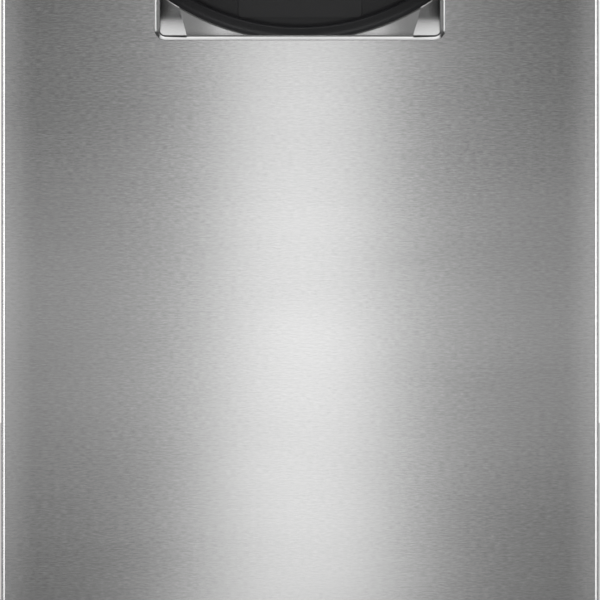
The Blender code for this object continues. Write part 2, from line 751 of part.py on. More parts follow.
def make_toe_kick():
    """The panel in front of the base pan, notched for the pedal's arm."""
    half = SEAT_X - FIT
    kick = box("toe_kick", (-half, KICK_Y, KICK_LOW), (half, KICK_Y + KICK_SHEET, PAN_TOP - FIT), PAINTED)
    arm = PEDAL_ARM_WIDTH / 2 + PEDAL_SLOT_GAP
    cut(
        kick,
        box_tool(
            "kick_notch",
            (-arm, KICK_Y - THROUGH, pedal_slot_low(KICK_Y)),
            (arm, KICK_Y + KICK_SHEET + THROUGH, PAN_TOP + THROUGH),
        ),
    )


def make_feet():
    """Levelling feet: a pad, a nut under the base pan and a stem through its corner plate."""
    nut_top = FOOT_HEIGHT - FIT
    stem_top = FOOT_HEIGHT + CORNER_PLATE_SHEET + FOOT_STEM_ABOVE
    profile = [
        (0, stem_top),
        (FOOT_STEM_RADIUS, stem_top),
        (FOOT_STEM_RADIUS, nut_top),
        (FOOT_NUT_RADIUS, nut_top),
        (FOOT_NUT_RADIUS, nut_top - FOOT_NUT_HEIGHT),
        (FOOT_STEM_RADIUS, nut_top - FOOT_NUT_HEIGHT),
        (FOOT_STEM_RADIUS, FOOT_PAD_HEIGHT),
        (FOOT_PAD_RADIUS, FOOT_PAD_EDGE),
        (FOOT_PAD_RADIUS, 0),
        (0, 0),
    ]
    for place, (x, y) in foot_places().items():
        turned(f"levelling_foot_{place}", profile, BRIGHT, (x, y, 0), sides=SMALL_SIDES)


make_base_pan()
make_toe_kick()
make_feet()

# ------------------------------------------------------------------ wrapper, rear panel and top frame


def make_wrapper():
    """Both sides and the top in one bent sheet, with front flanges and a notch at the toe kick."""
    outer = CABINET_WIDTH / 2
    inner = INSIDE_X
    loop = [
        (-outer, WRAPPER_LOW),
        (-inner, WRAPPER_LOW),
        (-inner, HEIGHT - WRAPPER_SHEET),
        (inner, HEIGHT - WRAPPER_SHEET),
        (inner, WRAPPER_LOW),
        (outer, WRAPPER_LOW),
        (outer, HEIGHT),
        (-outer, HEIGHT),
    ]
    thickness, at = across(CABINET_FRONT_Y, REAR_FACE_Y)
    wrapper = add_piece("cabinet_wrapper", outline_mesh([loop], thickness, "XZ"), PAINTED, at)
    for side, sign in SIDE_NAMES.items():
        near = sign * (inner + WRAPPER_SHEET / 2)
        far = sign * (inner - FLANGE_WIDTH)
        join(
            wrapper,
            box_tool(
                f"front_flange_{side}",
                (min(near, far), CABINET_FRONT_Y, TOE_NOTCH_TOP),
                (max(near, far), CABINET_FRONT_Y + WRAPPER_SHEET, HEIGHT - WRAPPER_SHEET / 2),
            ),
        )
    cut(
        wrapper,
        box_tool(
            "toe_notch",
            (-outer - THROUGH, CABINET_FRONT_Y - THROUGH, WRAPPER_LOW - THROUGH),
            (outer + THROUGH, KICK_Y, TOE_NOTCH_TOP),
        ),
    )


def make_rear_panel():
    low, high = (-SEAT_X, REAR_INNER_Y, FOOT_HEIGHT), (SEAT_X, REAR_FACE_Y, UNDER_TOP)
    panel = box("rear_panel", low, high, GALVANISED)
    outlet = FAN_OUTLET_HEIGHT / 2 - FAN_WALL
    cut(
        panel,
        round_tool(
            "gland_hole",
            GLAND_NECK_RADIUS + FIT,
            (JUNCTION_X, REAR_INNER_Y - THROUGH, JUNCTION_Z),
            (JUNCTION_X, REAR_FACE_Y + THROUGH, JUNCTION_Z),
            "Y",
            SMALL_SIDES,
        ),
    )
    vent_x = (FAN_OUTLET_REACH + FAN_RADIUS) / 2
    cut(
        panel,
        box_tool(
            "vent_hole",
            (vent_x - (FAN_OUTLET_REACH - FAN_RADIUS) / 2, REAR_INNER_Y - THROUGH, vent_z() - outlet),
            (vent_x + (FAN_OUTLET_REACH - FAN_RADIUS) / 2, REAR_FACE_Y + THROUGH, vent_z() + outlet),
        ),
    )


def vent_z():
    """Middle height of the fan's outlet, which leaves its scroll along +X at the top."""
    return FAN_Z + FAN_RADIUS - FAN_OUTLET_HEIGHT / 2


def make_top_frame():
    """The channel under the cabinet's top, its flanges down, which holds the upper bearings."""
    half = TOP_FRAME_LENGTH / 2
    inner = half - TOP_FRAME_SHEET
    web = UNDER_TOP - TOP_FRAME_SHEET
    loop = [
        (-half, TOP_FRAME_LOW),
        (-inner, TOP_FRAME_LOW),
        (-inner, web),
        (inner, web),
        (inner, TOP_FRAME_LOW),
        (half, TOP_FRAME_LOW),
        (half, UNDER_TOP),
        (-half, UNDER_TOP),
    ]
    frame = add_piece("top_frame", outline_mesh([loop], 2 * SEAT_X, "YZ"), GALVANISED, (0, RAM_Y, 0))
    for side, sign in SIDE_NAMES.items():
        tool = hole_z(f"upper_journal_hole_{side}", UPPER_JOURNAL_RADIUS + RUN, sign * SCREW_X, RAM_Y, web)
        cut(frame, tool)


make_wrapper()
make_rear_panel()
make_top_frame()

# ------------------------------------------------------------------ tracks, drawer frame and rollers


def track_loop(sign):
    """The section of a track: a channel that is open towards the drawer."""
    outer, inner, lip = TRACK_OUTER_X, TRACK_OUTER_X - TRACK_SHEET, TRACK_INNER_X
    points = [
        (outer, TRACK_LOW),
        (outer, TRACK_TOP),
        (lip, TRACK_TOP),
        (lip, TRACK_CEILING),
        (inner, TRACK_CEILING),
        (inner, TRACK_FLOOR),
        (lip, TRACK_FLOOR),
        (lip, TRACK_LOW),
    ]
    return [(sign * x, z) for x, z in points]


def pin_profile(length):
    """A roller's pin with its head up, from a root sunk in the sheet that carries it."""
    return [
        (0, length),
        (PIN_HEAD_RADIUS, length),
        (PIN_HEAD_RADIUS, length - PIN_HEAD),
        (PIN_RADIUS, length - PIN_HEAD),
        (PIN_RADIUS, 0),
        (0, 0),
    ]


def make_tracks():
    for side, sign in SIDE_NAMES.items():
        thickness, at = across(CABINET_FRONT_Y + FIT, TRACK_END_Y)
        track = add_piece(f"track_{side}", outline_mesh([track_loop(sign)], thickness, "XZ"), GALVANISED, at)
        root = TRACK_OUTER_X - TRACK_SHEET / 2
        head = ROLLER_X - ROLLER_WIDTH / 2 - FIT - PIN_HEAD
        pin = turned_tool(
            f"cabinet_pin_{side}",
            pin_profile(root - head),
            (sign * root, CABINET_ROLLER_Y, CABINET_ROLLER_Z),
            "X",
            SMALL_SIDES,
        )
        pin.rotation_euler = (0, -sign * math.pi / 2, 0)
        join(track, pin)


def frame_loop():
    """The section of the drawer frame: a floor, two webs and the flanges that run on the front rollers."""
    web_in = WEB_X - FRAME_SHEET
    rail = ROLLER_X + ROLLER_WIDTH / 2 + RUN
    half = [
        (WEB_X, FLOOR_TOP),
        (WEB_X, RAIL_TOP),
        (rail, RAIL_TOP),
        (rail, RAIL_LOW),
        (WEB_X, RAIL_LOW),
        (WEB_X, TRACK_FLOOR + FLOOR_RISE),
        (web_in, TRACK_FLOOR + FLOOR_RISE),
        (web_in, FLOOR_LOW),
    ]
    return half + [(-x, z) for x, z in reversed(half)]


def make_drawer_frame():
    front = DRAWER_BACK_Y + FIT
    back = DRAWER_ROLLER_Y + RAIL_END
    thickness, at = across(front, back)
    frame = add_piece("drawer_frame", outline_mesh([frame_loop()], thickness, "XZ"), GALVANISED, at, drawer)
    join(
        frame,
        box_tool(
            "frame_upstand",
            (-WEB_X + FRAME_SHEET / 2, front, FLOOR_LOW + FRAME_SHEET / 2),
            (WEB_X - FRAME_SHEET / 2, front + FRAME_SHEET, FLOOR_TOP + UPSTAND_HEIGHT),
        ),
    )
    opening = WEB_X - RAIL_LEDGE
    cut(
        frame,
        box_tool(
            "floor_end",
            (-opening, BIN_FRONT_Y + BIN_LENGTH + FLOOR_MARGIN, FLOOR_LOW - THROUGH),
            (opening, back + THROUGH, FLOOR_TOP + THROUGH),
        ),
    )
    for side, sign in SIDE_NAMES.items():
        near = sign * WEB_X
        far = sign * TRACK_OUTER_X
        cut(
            frame,
            box_tool(
                f"rail_end_{side}",
                (
                    min(near, far),
                    DRAWER_ROLLER_Y - DRAWER_ROLLER_RADIUS - 2 * RUN,
                    RAIL_LOW - RAIL_CLEARANCE,
                ),
                (max(near, far), back + THROUGH, RAIL_TOP + RAIL_CLEARANCE),
            ),
        )
        root = WEB_X - FRAME_SHEET / 2
        head = ROLLER_X + ROLLER_WIDTH / 2 + FIT + PIN_HEAD
        pin = turned_tool(
            f"drawer_pin_{side}",
            pin_profile(head - root),
            (sign * root, DRAWER_ROLLER_Y, DRAWER_ROLLER_Z),
            "X",
            SMALL_SIDES,
        )
        pin.rotation_euler = (0, sign * math.pi / 2, 0)
        join(frame, pin)


def make_rollers():
    places = {
        "cabinet_roller": (CABINET_ROLLER_Y, CABINET_ROLLER_Z, CABINET_ROLLER_RADIUS),
        "drawer_roller": (DRAWER_ROLLER_Y, DRAWER_ROLLER_Z, DRAWER_ROLLER_RADIUS),
    }
    half = ROLLER_WIDTH / 2
    for kind, (y, z, radius) in places.items():
        for side, sign in SIDE_NAMES.items():
            at = (sign * ROLLER_X, y, z)
            profile = ring_profile(radius, ROLLER_BORE, -half, half)
            turned(f"{kind}_{side}", profile, NYLON, at, "X", group(f"{kind}_axis_{side}", at))


make_tracks()
make_drawer_frame()
make_rollers()

# ------------------------------------------------------------------ drawer front and handle pocket


def pocket_outline(grow, raise_top=0.0):
    """The handle pocket's outline, grown all round, with its top raised further."""
    half = POCKET_WIDTH / 2 + grow
    low = (-half, POCKET_LOW - grow)
    high = (half, POCKET_TOP + grow + raise_top)
    return rounded_rect(low, high, POCKET_CORNER + grow)


def make_drawer_skin():
    half = PANEL_WIDTH / 2
    skin = shell(
        "drawer_front",
        (-half, FRONT_Y, DRAWER_BOTTOM),
        (half, FRONT_Y + SKIN_RETURN, DRAWER_TOP),
        [(0, 1, 0)],
        SKIN_SHEET,
        BRUSHED,
        drawer,
        FOLD_RADIUS,
    )
    thickness, at = across(FRONT_Y - THROUGH, FRONT_Y + SKIN_SHEET + THROUGH)
    cut(skin, add_tool("pocket_cutout", outline_mesh([pocket_outline(0)], thickness, "XZ"), at))


def make_inner_panel():
    half = PANEL_WIDTH / 2 - SKIN_SHEET - FIT
    shell(
        "drawer_inner_panel",
        (-half, DRAWER_BACK_Y - INNER_RETURN, DRAWER_BOTTOM + SKIN_SHEET + FIT),
        (half, DRAWER_BACK_Y, DRAWER_TOP - SKIN_SHEET - FIT),
        [(0, -1, 0)],
        INNER_SHEET,
        GALVANISED,
        drawer,
        FOLD_RADIUS,
    )


def make_sound_pad():
    inset = SKIN_SHEET + INNER_SHEET + 2 * FIT + FOLD_RADIUS / 2
    half = PANEL_WIDTH / 2 - inset
    low_y = FRONT_Y + SKIN_SHEET + FIT
    high_y = DRAWER_BACK_Y - INNER_SHEET - FIT
    pad = box(
        "sound_pad",
        (-half, low_y, DRAWER_BOTTOM + inset),
        (half, high_y, DRAWER_TOP - inset),
        FELT,
        drawer,
    )
    thickness, at = across(low_y - THROUGH, high_y + THROUGH)
    room = pocket_outline(SCOOP_FLANGE + FIT, GRIP_RISE)
    cut(pad, add_tool("pad_cutout", outline_mesh([room], thickness, "XZ"), at))


def make_bezel():
    """The bright rim that lines the pocket's edge."""
    low_y = FRONT_Y + BEZEL_SET_BACK
    thickness, at = across(low_y, scoop_front() - FIT)
    loops = [pocket_outline(-FIT), pocket_outline(-FIT - BEZEL_WIDTH)]
    add_piece("handle_bezel", outline_mesh(loops, thickness, "XZ"), SATIN, at, drawer)


def scoop_front():
    return FRONT_Y + SKIN_SHEET + FIT


def cup_front():
    return scoop_front() + SCOOP_DEPTH + SCOOP_BACK + FIT


def hollow_mesh():
    """The scoop's hollow: its side walls lean in towards the back, with round edges between them."""
    edge = FIT + BEZEL_WIDTH
    half = POCKET_WIDTH / 2 - edge
    height = POCKET_HEIGHT - 2 * edge
    depth = SCOOP_DEPTH + THROUGH
    lean = SCOOP_SLOPE / SCOOP_DEPTH
    work = bmesh.new()
    bmesh.ops.create_cube(work, size=1.0)
    for vert in work.verts:
        front = vert.co.y < 0
        side = half + lean * THROUGH if front else half - SCOOP_SLOPE
        vert.co = Vector((math.copysign(side, vert.co.x), vert.co.y * depth, vert.co.z * height))
    upright = [e for e in work.edges if abs(e.verts[0].co.z - e.verts[1].co.z) < 1e-6 and not back_edge(e)]
    bmesh.ops.bevel(work, geom=upright, offset=POCKET_CORNER - edge, segments=4, profile=0.5, affect="EDGES")
    return to_mesh(work)


def back_edge(edge):
    """Whether an edge of the hollow lies along X."""
    return abs(edge.verts[0].co.y - edge.verts[1].co.y) < 1e-6


def cup_outline(lip, half_width, top):
    """A flat-topped shape whose lower edge is the cup's arc, moved in by a lip."""
    floor = POCKET_LOW + FIT + BEZEL_WIDTH
    centre_z = floor + CUP_ARC
    radius = CUP_ARC - lip
    sweep = math.asin(half_width / radius)
    steps = SIDES
    arc = [
        (
            radius * math.sin(sweep * (2 * i / steps - 1)),
            centre_z - radius * math.cos(sweep * (2 * i / steps - 1)),
        )
        for i in range(steps + 1)
    ]
    return arc + [(half_width, top), (-half_width, top)]


def make_scoop():
    """The stainless scoop behind the pocket, with an arched opening for the black cup."""
    front = scoop_front()
    thickness, at = across(front, front + SCOOP_DEPTH + SCOOP_BACK)
    mesh = outline_mesh([pocket_outline(SCOOP_RIM)], thickness, "XZ")
    scoop = add_piece("handle_scoop", mesh, SATIN, at, drawer)
    thickness, at = across(front, front + SCOOP_BACK)
    join(scoop, add_tool("scoop_flange", outline_mesh([pocket_outline(SCOOP_FLANGE)], thickness, "XZ"), at))
    middle_y = front - THROUGH + (SCOOP_DEPTH + THROUGH) / 2
    cut(scoop, add_tool("scoop_hollow", hollow_mesh(), (0, middle_y, (POCKET_LOW + POCKET_TOP) / 2)))
    thickness, at = across(front - THROUGH, front + SCOOP_DEPTH + SCOOP_BACK + THROUGH)
    top = POCKET_TOP - FIT - BEZEL_WIDTH
    opening = cup_outline(0, CUP_HALF_WIDTH, top)
    cut(scoop, add_tool("scoop_opening", outline_mesh([opening], thickness, "XZ"), at))


def make_cup():
    """The black cup behind the scoop, hollow up past the pocket's top so that fingers can curl behind it."""
    front = cup_front()
    back = front + CUP_DEPTH
    half = CUP_HALF_WIDTH + CUP_WALL
    thickness, at = across(front, back)
    outline = rounded_rect((-half, POCKET_LOW), (half, POCKET_TOP + GRIP_RISE + CUP_WALL), POCKET_CORNER)
    cup = add_piece("handle_cup", outline_mesh([outline], thickness, "XZ"), BLACK, at, drawer)
    hollow = cup_outline(CUP_LIP, CUP_HALF_WIDTH - CUP_LIP, POCKET_TOP + GRIP_RISE)
    thickness, at = across(front - THROUGH, back - CUP_BACK)
    cut(cup, add_tool("cup_hollow", outline_mesh([hollow], thickness, "XZ"), at))


make_drawer_skin()
make_inner_panel()
make_sound_pad()
make_bezel()
make_scoop()
make_cup()

# ------------------------------------------------------------------ bin and latch strike


def make_bin():
    """The bin that stands on the drawer's floor, with a rolled rim."""
    half = BIN_WIDTH / 2
    back = BIN_FRONT_Y + BIN_LENGTH
    tub = shell(
        "bin",
        (-half, BIN_FRONT_Y, BIN_LOW),
        (half, back, BIN_TOP),
        [(0, 0, 1)],
        BIN_WALL,
        PAINTED,
        drawer,
        BIN_CORNER,
    )
    rim_z = BIN_TOP - BIN_RIM_SHEET / 2
    grow = BIN_RIM
    outer = rounded_rect((-half - grow, BIN_FRONT_Y), (half + grow, back + grow), BIN_CORNER, 3)
    inner = rounded_rect(
        (-half + BIN_WALL / 2, BIN_FRONT_Y + BIN_WALL / 2),
        (half - BIN_WALL / 2, back - BIN_WALL / 2),
        BIN_CORNER - BIN_WALL / 2,
        3,
    )
    join(tub, add_tool("bin_rim", outline_mesh([outer, inner], BIN_RIM_SHEET, "XY"), (0, 0, rim_z)))


def make_strike():
    """The catch plate under the drawer's floor, which the pedal's nose stands in front of."""
    front = NOSE_Y + NOSE_LENGTH / 2 + PEDAL_SLOT_GAP
    top = FLOOR_LOW - FIT
    low = FLOOR_LOW - STRIKE_REACH
    loop = [
        (front, low),
        (front + STRIKE_SHEET, low),
        (front + STRIKE_SHEET, top - STRIKE_SHEET),
        (front + STRIKE_TAB, top - STRIKE_SHEET),
        (front + STRIKE_TAB, top),
        (front, top),
    ]
    add_piece("latch_strike", outline_mesh([loop], STRIKE_WIDTH, "YZ"), GALVANISED, (0, 0, 0), drawer)


make_bin()
make_strike()

# ------------------------------------------------------------------ foot pedal


def make_pedal():
    """A pedal plate on an arm, a hub on the pedal's pin, and the latch nose that reaches up to the drawer."""
    pivot = group("pedal_axis", (0, PEDAL_PIVOT_Y, PEDAL_PIVOT_Z))
    half = PEDAL_PLATE / 2
    pad_front = FRONT_Y + PEDAL_PAD_FRONT
    pad_back = pad_front + PEDAL_PAD_LENGTH
    arm_loop = [
        (pad_back - PEDAL_PLATE, PEDAL_PIVOT_Z - half),
        (PEDAL_PIVOT_Y, PEDAL_PIVOT_Z - half),
        (PEDAL_PIVOT_Y, PEDAL_PIVOT_Z + half),
        (pad_back - PEDAL_PLATE, PEDAL_PIVOT_Z + half),
    ]
    mesh = outline_mesh([arm_loop], PEDAL_ARM_WIDTH, "YZ")
    pedal = add_piece("foot_pedal", mesh, BLACK, (0, 0, 0), pivot)
    wide = PEDAL_PAD_WIDTH / 2
    pad = rounded_rect((-wide, pad_front), (wide, pad_back), PEDAL_PAD_CORNER, 3)
    plate = outline_mesh([pad], PEDAL_PLATE + 2 * FIT, "XY")
    join(pedal, add_tool("pedal_pad", plate, (0, 0, PEDAL_PIVOT_Z)))
    hub = PEDAL_HUB_WIDTH / 2
    low, high = (-hub, PEDAL_PIVOT_Y, PEDAL_PIVOT_Z), (hub, PEDAL_PIVOT_Y, PEDAL_PIVOT_Z)
    join(pedal, round_tool("pedal_hub", PEDAL_HUB_RADIUS, low, high, "X"))
    nose_top = FLOOR_LOW - STRIKE_REACH - NOSE_CLEAR
    join(
        pedal,
        box_tool(
            "latch_nose",
            (-NOSE_WIDTH / 2, NOSE_Y - NOSE_LENGTH / 2, PEDAL_PIVOT_Z),
            (NOSE_WIDTH / 2, NOSE_Y + NOSE_LENGTH / 2, nose_top),
        ),
    )
    low, high = (-2 * hub, PEDAL_PIVOT_Y, PEDAL_PIVOT_Z), (2 * hub, PEDAL_PIVOT_Y, PEDAL_PIVOT_Z)
    cut(pedal, round_tool("pedal_bore", PEDAL_PIN_RADIUS + RUN, low, high, "X", SMALL_SIDES))


def make_pedal_bracket():
    """A channel under the base pan's floor, with two ears and the pin that is riveted into them."""
    top = PAN_TOP - PAN_SHEET - FIT
    ear = BRACKET_EAR / 2
    low = PEDAL_PIVOT_Z - ear
    out = BRACKET_EAR_X
    inner = out - BRACKET_SHEET
    loop = [
        (-out, low),
        (-inner, low),
        (-inner, top - BRACKET_SHEET),
        (inner, top - BRACKET_SHEET),
        (inner, low),
        (out, low),
        (out, top),
        (-out, top),
    ]
    bracket = add_piece(
        "pedal_bracket", outline_mesh([loop], BRACKET_EAR, "XZ"), GALVANISED, (0, PEDAL_PIVOT_Y, 0)
    )
    pin_end = out + BRACKET_SHEET
    low, high = (-pin_end, PEDAL_PIVOT_Y, PEDAL_PIVOT_Z), (pin_end, PEDAL_PIVOT_Y, PEDAL_PIVOT_Z)
    join(bracket, round_tool("pedal_pin", PEDAL_PIN_RADIUS, low, high, "X", SMALL_SIDES))


def make_pedal_spring():
    """A torsion spring round the pin, between the hub and the right-hand ear, with a leg each way."""
    start = PEDAL_HUB_WIDTH / 2 + 2 * SPRING_WIRE
    steps = 10
    points = [(start, -SPRING_LEG, -SPRING_COIL_RADIUS)]
    for i in range(SPRING_TURNS * steps + 1):
        angle = -math.pi / 2 - 2 * math.pi * i / steps
        points.append(
            (
                start + SPRING_PITCH * i / steps,
                SPRING_COIL_RADIUS * math.cos(angle),
                SPRING_COIL_RADIUS * math.sin(angle),
            )
        )
    points.append((points[-1][0], SPRING_LEG, -SPRING_COIL_RADIUS))
    curve = bpy.data.curves.new("pedal_spring", "CURVE")
    curve.dimensions = "3D"
    curve.bevel_depth = SPRING_WIRE
    curve.bevel_resolution = 1
    curve.use_fill_caps = True
    spline = curve.splines.new("POLY")
    spline.points.add(len(points) - 1)
    for point, place in zip(spline.points, points):
        point.co = (*place, 1)
    curve.materials.append(BRIGHT)
    spring = bpy.data.objects.new("pedal_spring", curve)
    spring.location = (0, PEDAL_PIVOT_Y, PEDAL_PIVOT_Z)
    PIECES.objects.link(spring)


make_pedal()
make_pedal_bracket()
make_pedal_spring()

# ------------------------------------------------------------------ ram


def make_ram():
    half_x, half_y = RAM_HALF_X, RAM_HALF_Y
    box(
        "ram_plate",
        (-half_x, RAM_Y - half_y, RAM_LOW),
        (half_x, RAM_Y + half_y, RAM_LOW + RAM_PLATE),
        BRIGHT,
        ram,
    )
    reach = RAM_SIDE_GAP - WIPER_GAP
    low, high = (-half_x - reach, RAM_Y - half_y - reach), (half_x + reach, RAM_Y + half_y + reach)
    outer = rounded_rect(low, high, WIPER_CORNER, 3)
    inner = rectangle((-half_x - FIT, RAM_Y - half_y - FIT), (half_x + FIT, RAM_Y + half_y + FIT))
    wiper_z = RAM_LOW + RAM_PLATE - WIPER_HEIGHT / 2
    add_piece("ram_wiper", outline_mesh([outer, inner], WIPER_HEIGHT, "XY"), RUBBER, (0, 0, wiper_z), ram)
    shell(
        "ram_housing",
        (-half_x + RAM_HOUSING_INSET, RAM_Y - half_y + RAM_HOUSING_INSET, RAM_LOW + RAM_PLATE + FIT),
        (half_x - RAM_HOUSING_INSET, RAM_Y + half_y - RAM_HOUSING_INSET, CROSSHEAD_LOW - FIT),
        [(0, 0, 1), (0, 0, -1)],
        RAM_SHEET,
        PAINTED,
        ram,
    )


def make_crosshead():
    """The beam over the ram housing, with a power nut in each end."""
    half = SEAT_X - 2 * RUN - FIT
    loop = [
        (-CROSSHEAD_LENGTH / 2, CROSSHEAD_LOW),
        (CROSSHEAD_LENGTH / 2, CROSSHEAD_LOW),
        (CROSSHEAD_LENGTH / 2, CROSSHEAD_TOP),
        (CROSSHEAD_LENGTH / 2 - CROSSHEAD_WALL, CROSSHEAD_TOP),
        (CROSSHEAD_LENGTH / 2 - CROSSHEAD_WALL, CROSSHEAD_LOW + CROSSHEAD_WALL),
        (-CROSSHEAD_LENGTH / 2 + CROSSHEAD_WALL, CROSSHEAD_LOW + CROSSHEAD_WALL),
        (-CROSSHEAD_LENGTH / 2 + CROSSHEAD_WALL, CROSSHEAD_TOP),
        (-CROSSHEAD_LENGTH / 2, CROSSHEAD_TOP),
    ]
    beam = outline_mesh([loop], 2 * half, "YZ")
    crosshead = add_piece("ram_crosshead", beam, GALVANISED, (0, RAM_Y, 0), ram)
    flange_low = CROSSHEAD_LOW - FIT - NUT_FLANGE
    nut_top = CROSSHEAD_TOP + NUT_PROUD
    bore = SCREW_RADIUS + RUN
    profile = [
        (NUT_RADIUS, nut_top),
        (NUT_RADIUS, CROSSHEAD_LOW - FIT),
        (NUT_FLANGE_RADIUS, CROSSHEAD_LOW - FIT),
        (NUT_FLANGE_RADIUS, flange_low),
        (bore, flange_low),
        (bore, nut_top),
    ]
    for side, sign in SIDE_NAMES.items():
        x = sign * SCREW_X
        cut(crosshead, hole_z(f"nut_hole_{side}", NUT_RADIUS + FIT, x, RAM_Y, CROSSHEAD_LOW))
        turned(f"power_nut_{side}", profile, BRONZE, (x, RAM_Y, 0), carrier=ram)


make_ram()
make_crosshead()

# ------------------------------------------------------------------ power screws and bearings


def make_screws():
    shaft_low = SPROCKET_LOW - FIT - SHAFT_NUT
    main_low = LOWER_BEARING_TOP + FIT
    main_top = UPPER_BEARING_LOW - FIT
    top = UNDER_TOP - FIT
    screw_profile = [
        (0, top),
        (UPPER_JOURNAL_RADIUS, top),
        (UPPER_JOURNAL_RADIUS, main_top),
        (SCREW_RADIUS, main_top),
        (SCREW_RADIUS, main_low),
        (LOWER_JOURNAL_RADIUS, main_low),
        (LOWER_JOURNAL_RADIUS, SPROCKET_LOW - FIT),
        (SHAFT_NUT_RADIUS, SPROCKET_LOW - FIT),
        (SHAFT_NUT_RADIUS, shaft_low),
        (0, shaft_low),
    ]
    lower_profile = [
        (BEARING_RADIUS, LOWER_BEARING_TOP),
        (BEARING_RADIUS, LOWER_BEARING_LOW + BEARING_FLANGE),
        (BEARING_FLANGE_RADIUS, LOWER_BEARING_LOW + BEARING_FLANGE),
        (BEARING_FLANGE_RADIUS, LOWER_BEARING_LOW),
        (LOWER_JOURNAL_RADIUS + RUN, LOWER_BEARING_LOW),
        (LOWER_JOURNAL_RADIUS + RUN, LOWER_BEARING_TOP),
    ]
    upper_profile = [
        (BEARING_FLANGE_RADIUS, TOP_BEARING_TOP),
        (BEARING_FLANGE_RADIUS, TOP_BEARING_TOP - BEARING_FLANGE),
        (BEARING_RADIUS, TOP_BEARING_TOP - BEARING_FLANGE),
        (BEARING_RADIUS, UPPER_BEARING_LOW),
        (UPPER_JOURNAL_RADIUS + RUN, UPPER_BEARING_LOW),
        (UPPER_JOURNAL_RADIUS + RUN, TOP_BEARING_TOP),
    ]
    for side, sign in SIDE_NAMES.items():
        at = (sign * SCREW_X, RAM_Y, 0)
        axis = group(f"screw_axis_{side}", at)
        turned(f"power_screw_{side}", screw_profile, BRIGHT, at, carrier=axis)
        turned(f"lower_bearing_{side}", lower_profile, BRONZE, at)
        turned(f"upper_bearing_{side}", upper_profile, BRONZE, at)
        make_sprocket(f"screw_sprocket_{side}", at, axis, LOWER_JOURNAL_RADIUS + FIT)


# ------------------------------------------------------------------ chain drive


def toothed_outline(teeth, root, tip, root_share, tip_share):
    """A simple toothed wheel: each tooth narrows from its root's share of the pitch to its tip's."""
    points = []
    pitch = 2 * math.pi / teeth
    for i in range(teeth):
        for radius, share in ((root, -root_share), (tip, -tip_share), (tip, tip_share), (root, root_share)):
            angle = pitch * (i + share / 2)
            points.append((radius * math.cos(angle), radius * math.sin(angle)))
    return points


def make_sprocket(name, at, carrier, bore):
    """A chain sprocket with a hub above its teeth."""
    sprocket = add_piece(
        name,
        outline_mesh([sprocket_outline(), circle((0, 0), bore)], SPROCKET_THICKNESS, "XY"),
        BRIGHT,
        (at[0], at[1], SPROCKET_LOW + SPROCKET_THICKNESS / 2),
        carrier,
    )
    top = SPROCKET_LOW + SPROCKET_THICKNESS + SPROCKET_HUB
    hub = turned_tool(
        f"{name}_hub", ring_profile(SPROCKET_HUB_RADIUS, bore, SPROCKET_LOW + SPROCKET_THICKNESS / 2, top), at
    )
    join(sprocket, hub)
    return sprocket


def sprocket_outline():
    root, tip = SPROCKET_RADIUS - SPROCKET_ROOT, SPROCKET_RADIUS + SPROCKET_TIP
    return toothed_outline(SPROCKET_TEETH, root, tip, SPROCKET_ROOT_SHARE, SPROCKET_TIP_SHARE)


def involute_outline(teeth, phase):
    """A spur gear with involute flanks, one tooth centred on the angle phase."""
    pitch_radius = teeth * GEAR_MODULE / 2
    base = pitch_radius * math.cos(PRESSURE_ANGLE)
    tip = pitch_radius + ADDENDUM * GEAR_MODULE
    root = pitch_radius - DEDENDUM * GEAR_MODULE

    def roll(radius):
        angle = math.acos(min(1.0, base / radius))
        return math.tan(angle) - angle

    half_tooth = (math.pi * GEAR_MODULE / 2 - BACKLASH) / (2 * pitch_radius)
    start = max(base, root)
    flank = [start + (tip - start) * i / 3 for i in range(4)]
    half = [(r, half_tooth + roll(pitch_radius) - roll(r)) for r in flank]
    if root < base:
        half.insert(0, (root, half[0][1]))
    points = []
    for i in range(teeth):
        centre = phase + 2 * math.pi * i / teeth
        turns = [(r, centre - a) for r, a in half] + [(r, centre + a) for r, a in reversed(half)]
        points += [(r * math.cos(a), r * math.sin(a)) for r, a in turns]
    return points


def make_drive_gear():
    """The large gear with a sprocket below it, on a shaft that hangs from the base pan's floor."""
    at = (0, GEAR_Y, 0)
    axis = group("drive_gear_axis", at)
    mesh = outline_mesh([involute_outline(GEAR_TEETH, math.pi / 2)], GEAR_FACE, "XY")
    gear = add_piece("drive_gear", mesh, BRIGHT, (0, GEAR_Y, GEAR_LOW + GEAR_FACE / 2), axis)
    wheel = outline_mesh([sprocket_outline()], SPROCKET_THICKNESS, "XY")
    low = SPROCKET_LOW - FIT - SHAFT_NUT
    head_low = PAN_TOP + FIT
    collar = PAN_TOP - PAN_SHEET - FIT
    shaft_profile = [
        (0, head_low + GEAR_HEAD),
        (GEAR_HEAD_RADIUS, head_low + GEAR_HEAD),
        (GEAR_HEAD_RADIUS, head_low),
        (GEAR_SHAFT_RADIUS, head_low),
        (GEAR_SHAFT_RADIUS, collar),
        (SPROCKET_HUB_RADIUS, collar),
        (SPROCKET_HUB_RADIUS, low),
        (0, low),
    ]
    join(gear, turned_tool("gear_shaft", shaft_profile, at))
    join(gear, add_tool("gear_sprocket", wheel, (0, GEAR_Y, SPROCKET_LOW + SPROCKET_THICKNESS / 2)))


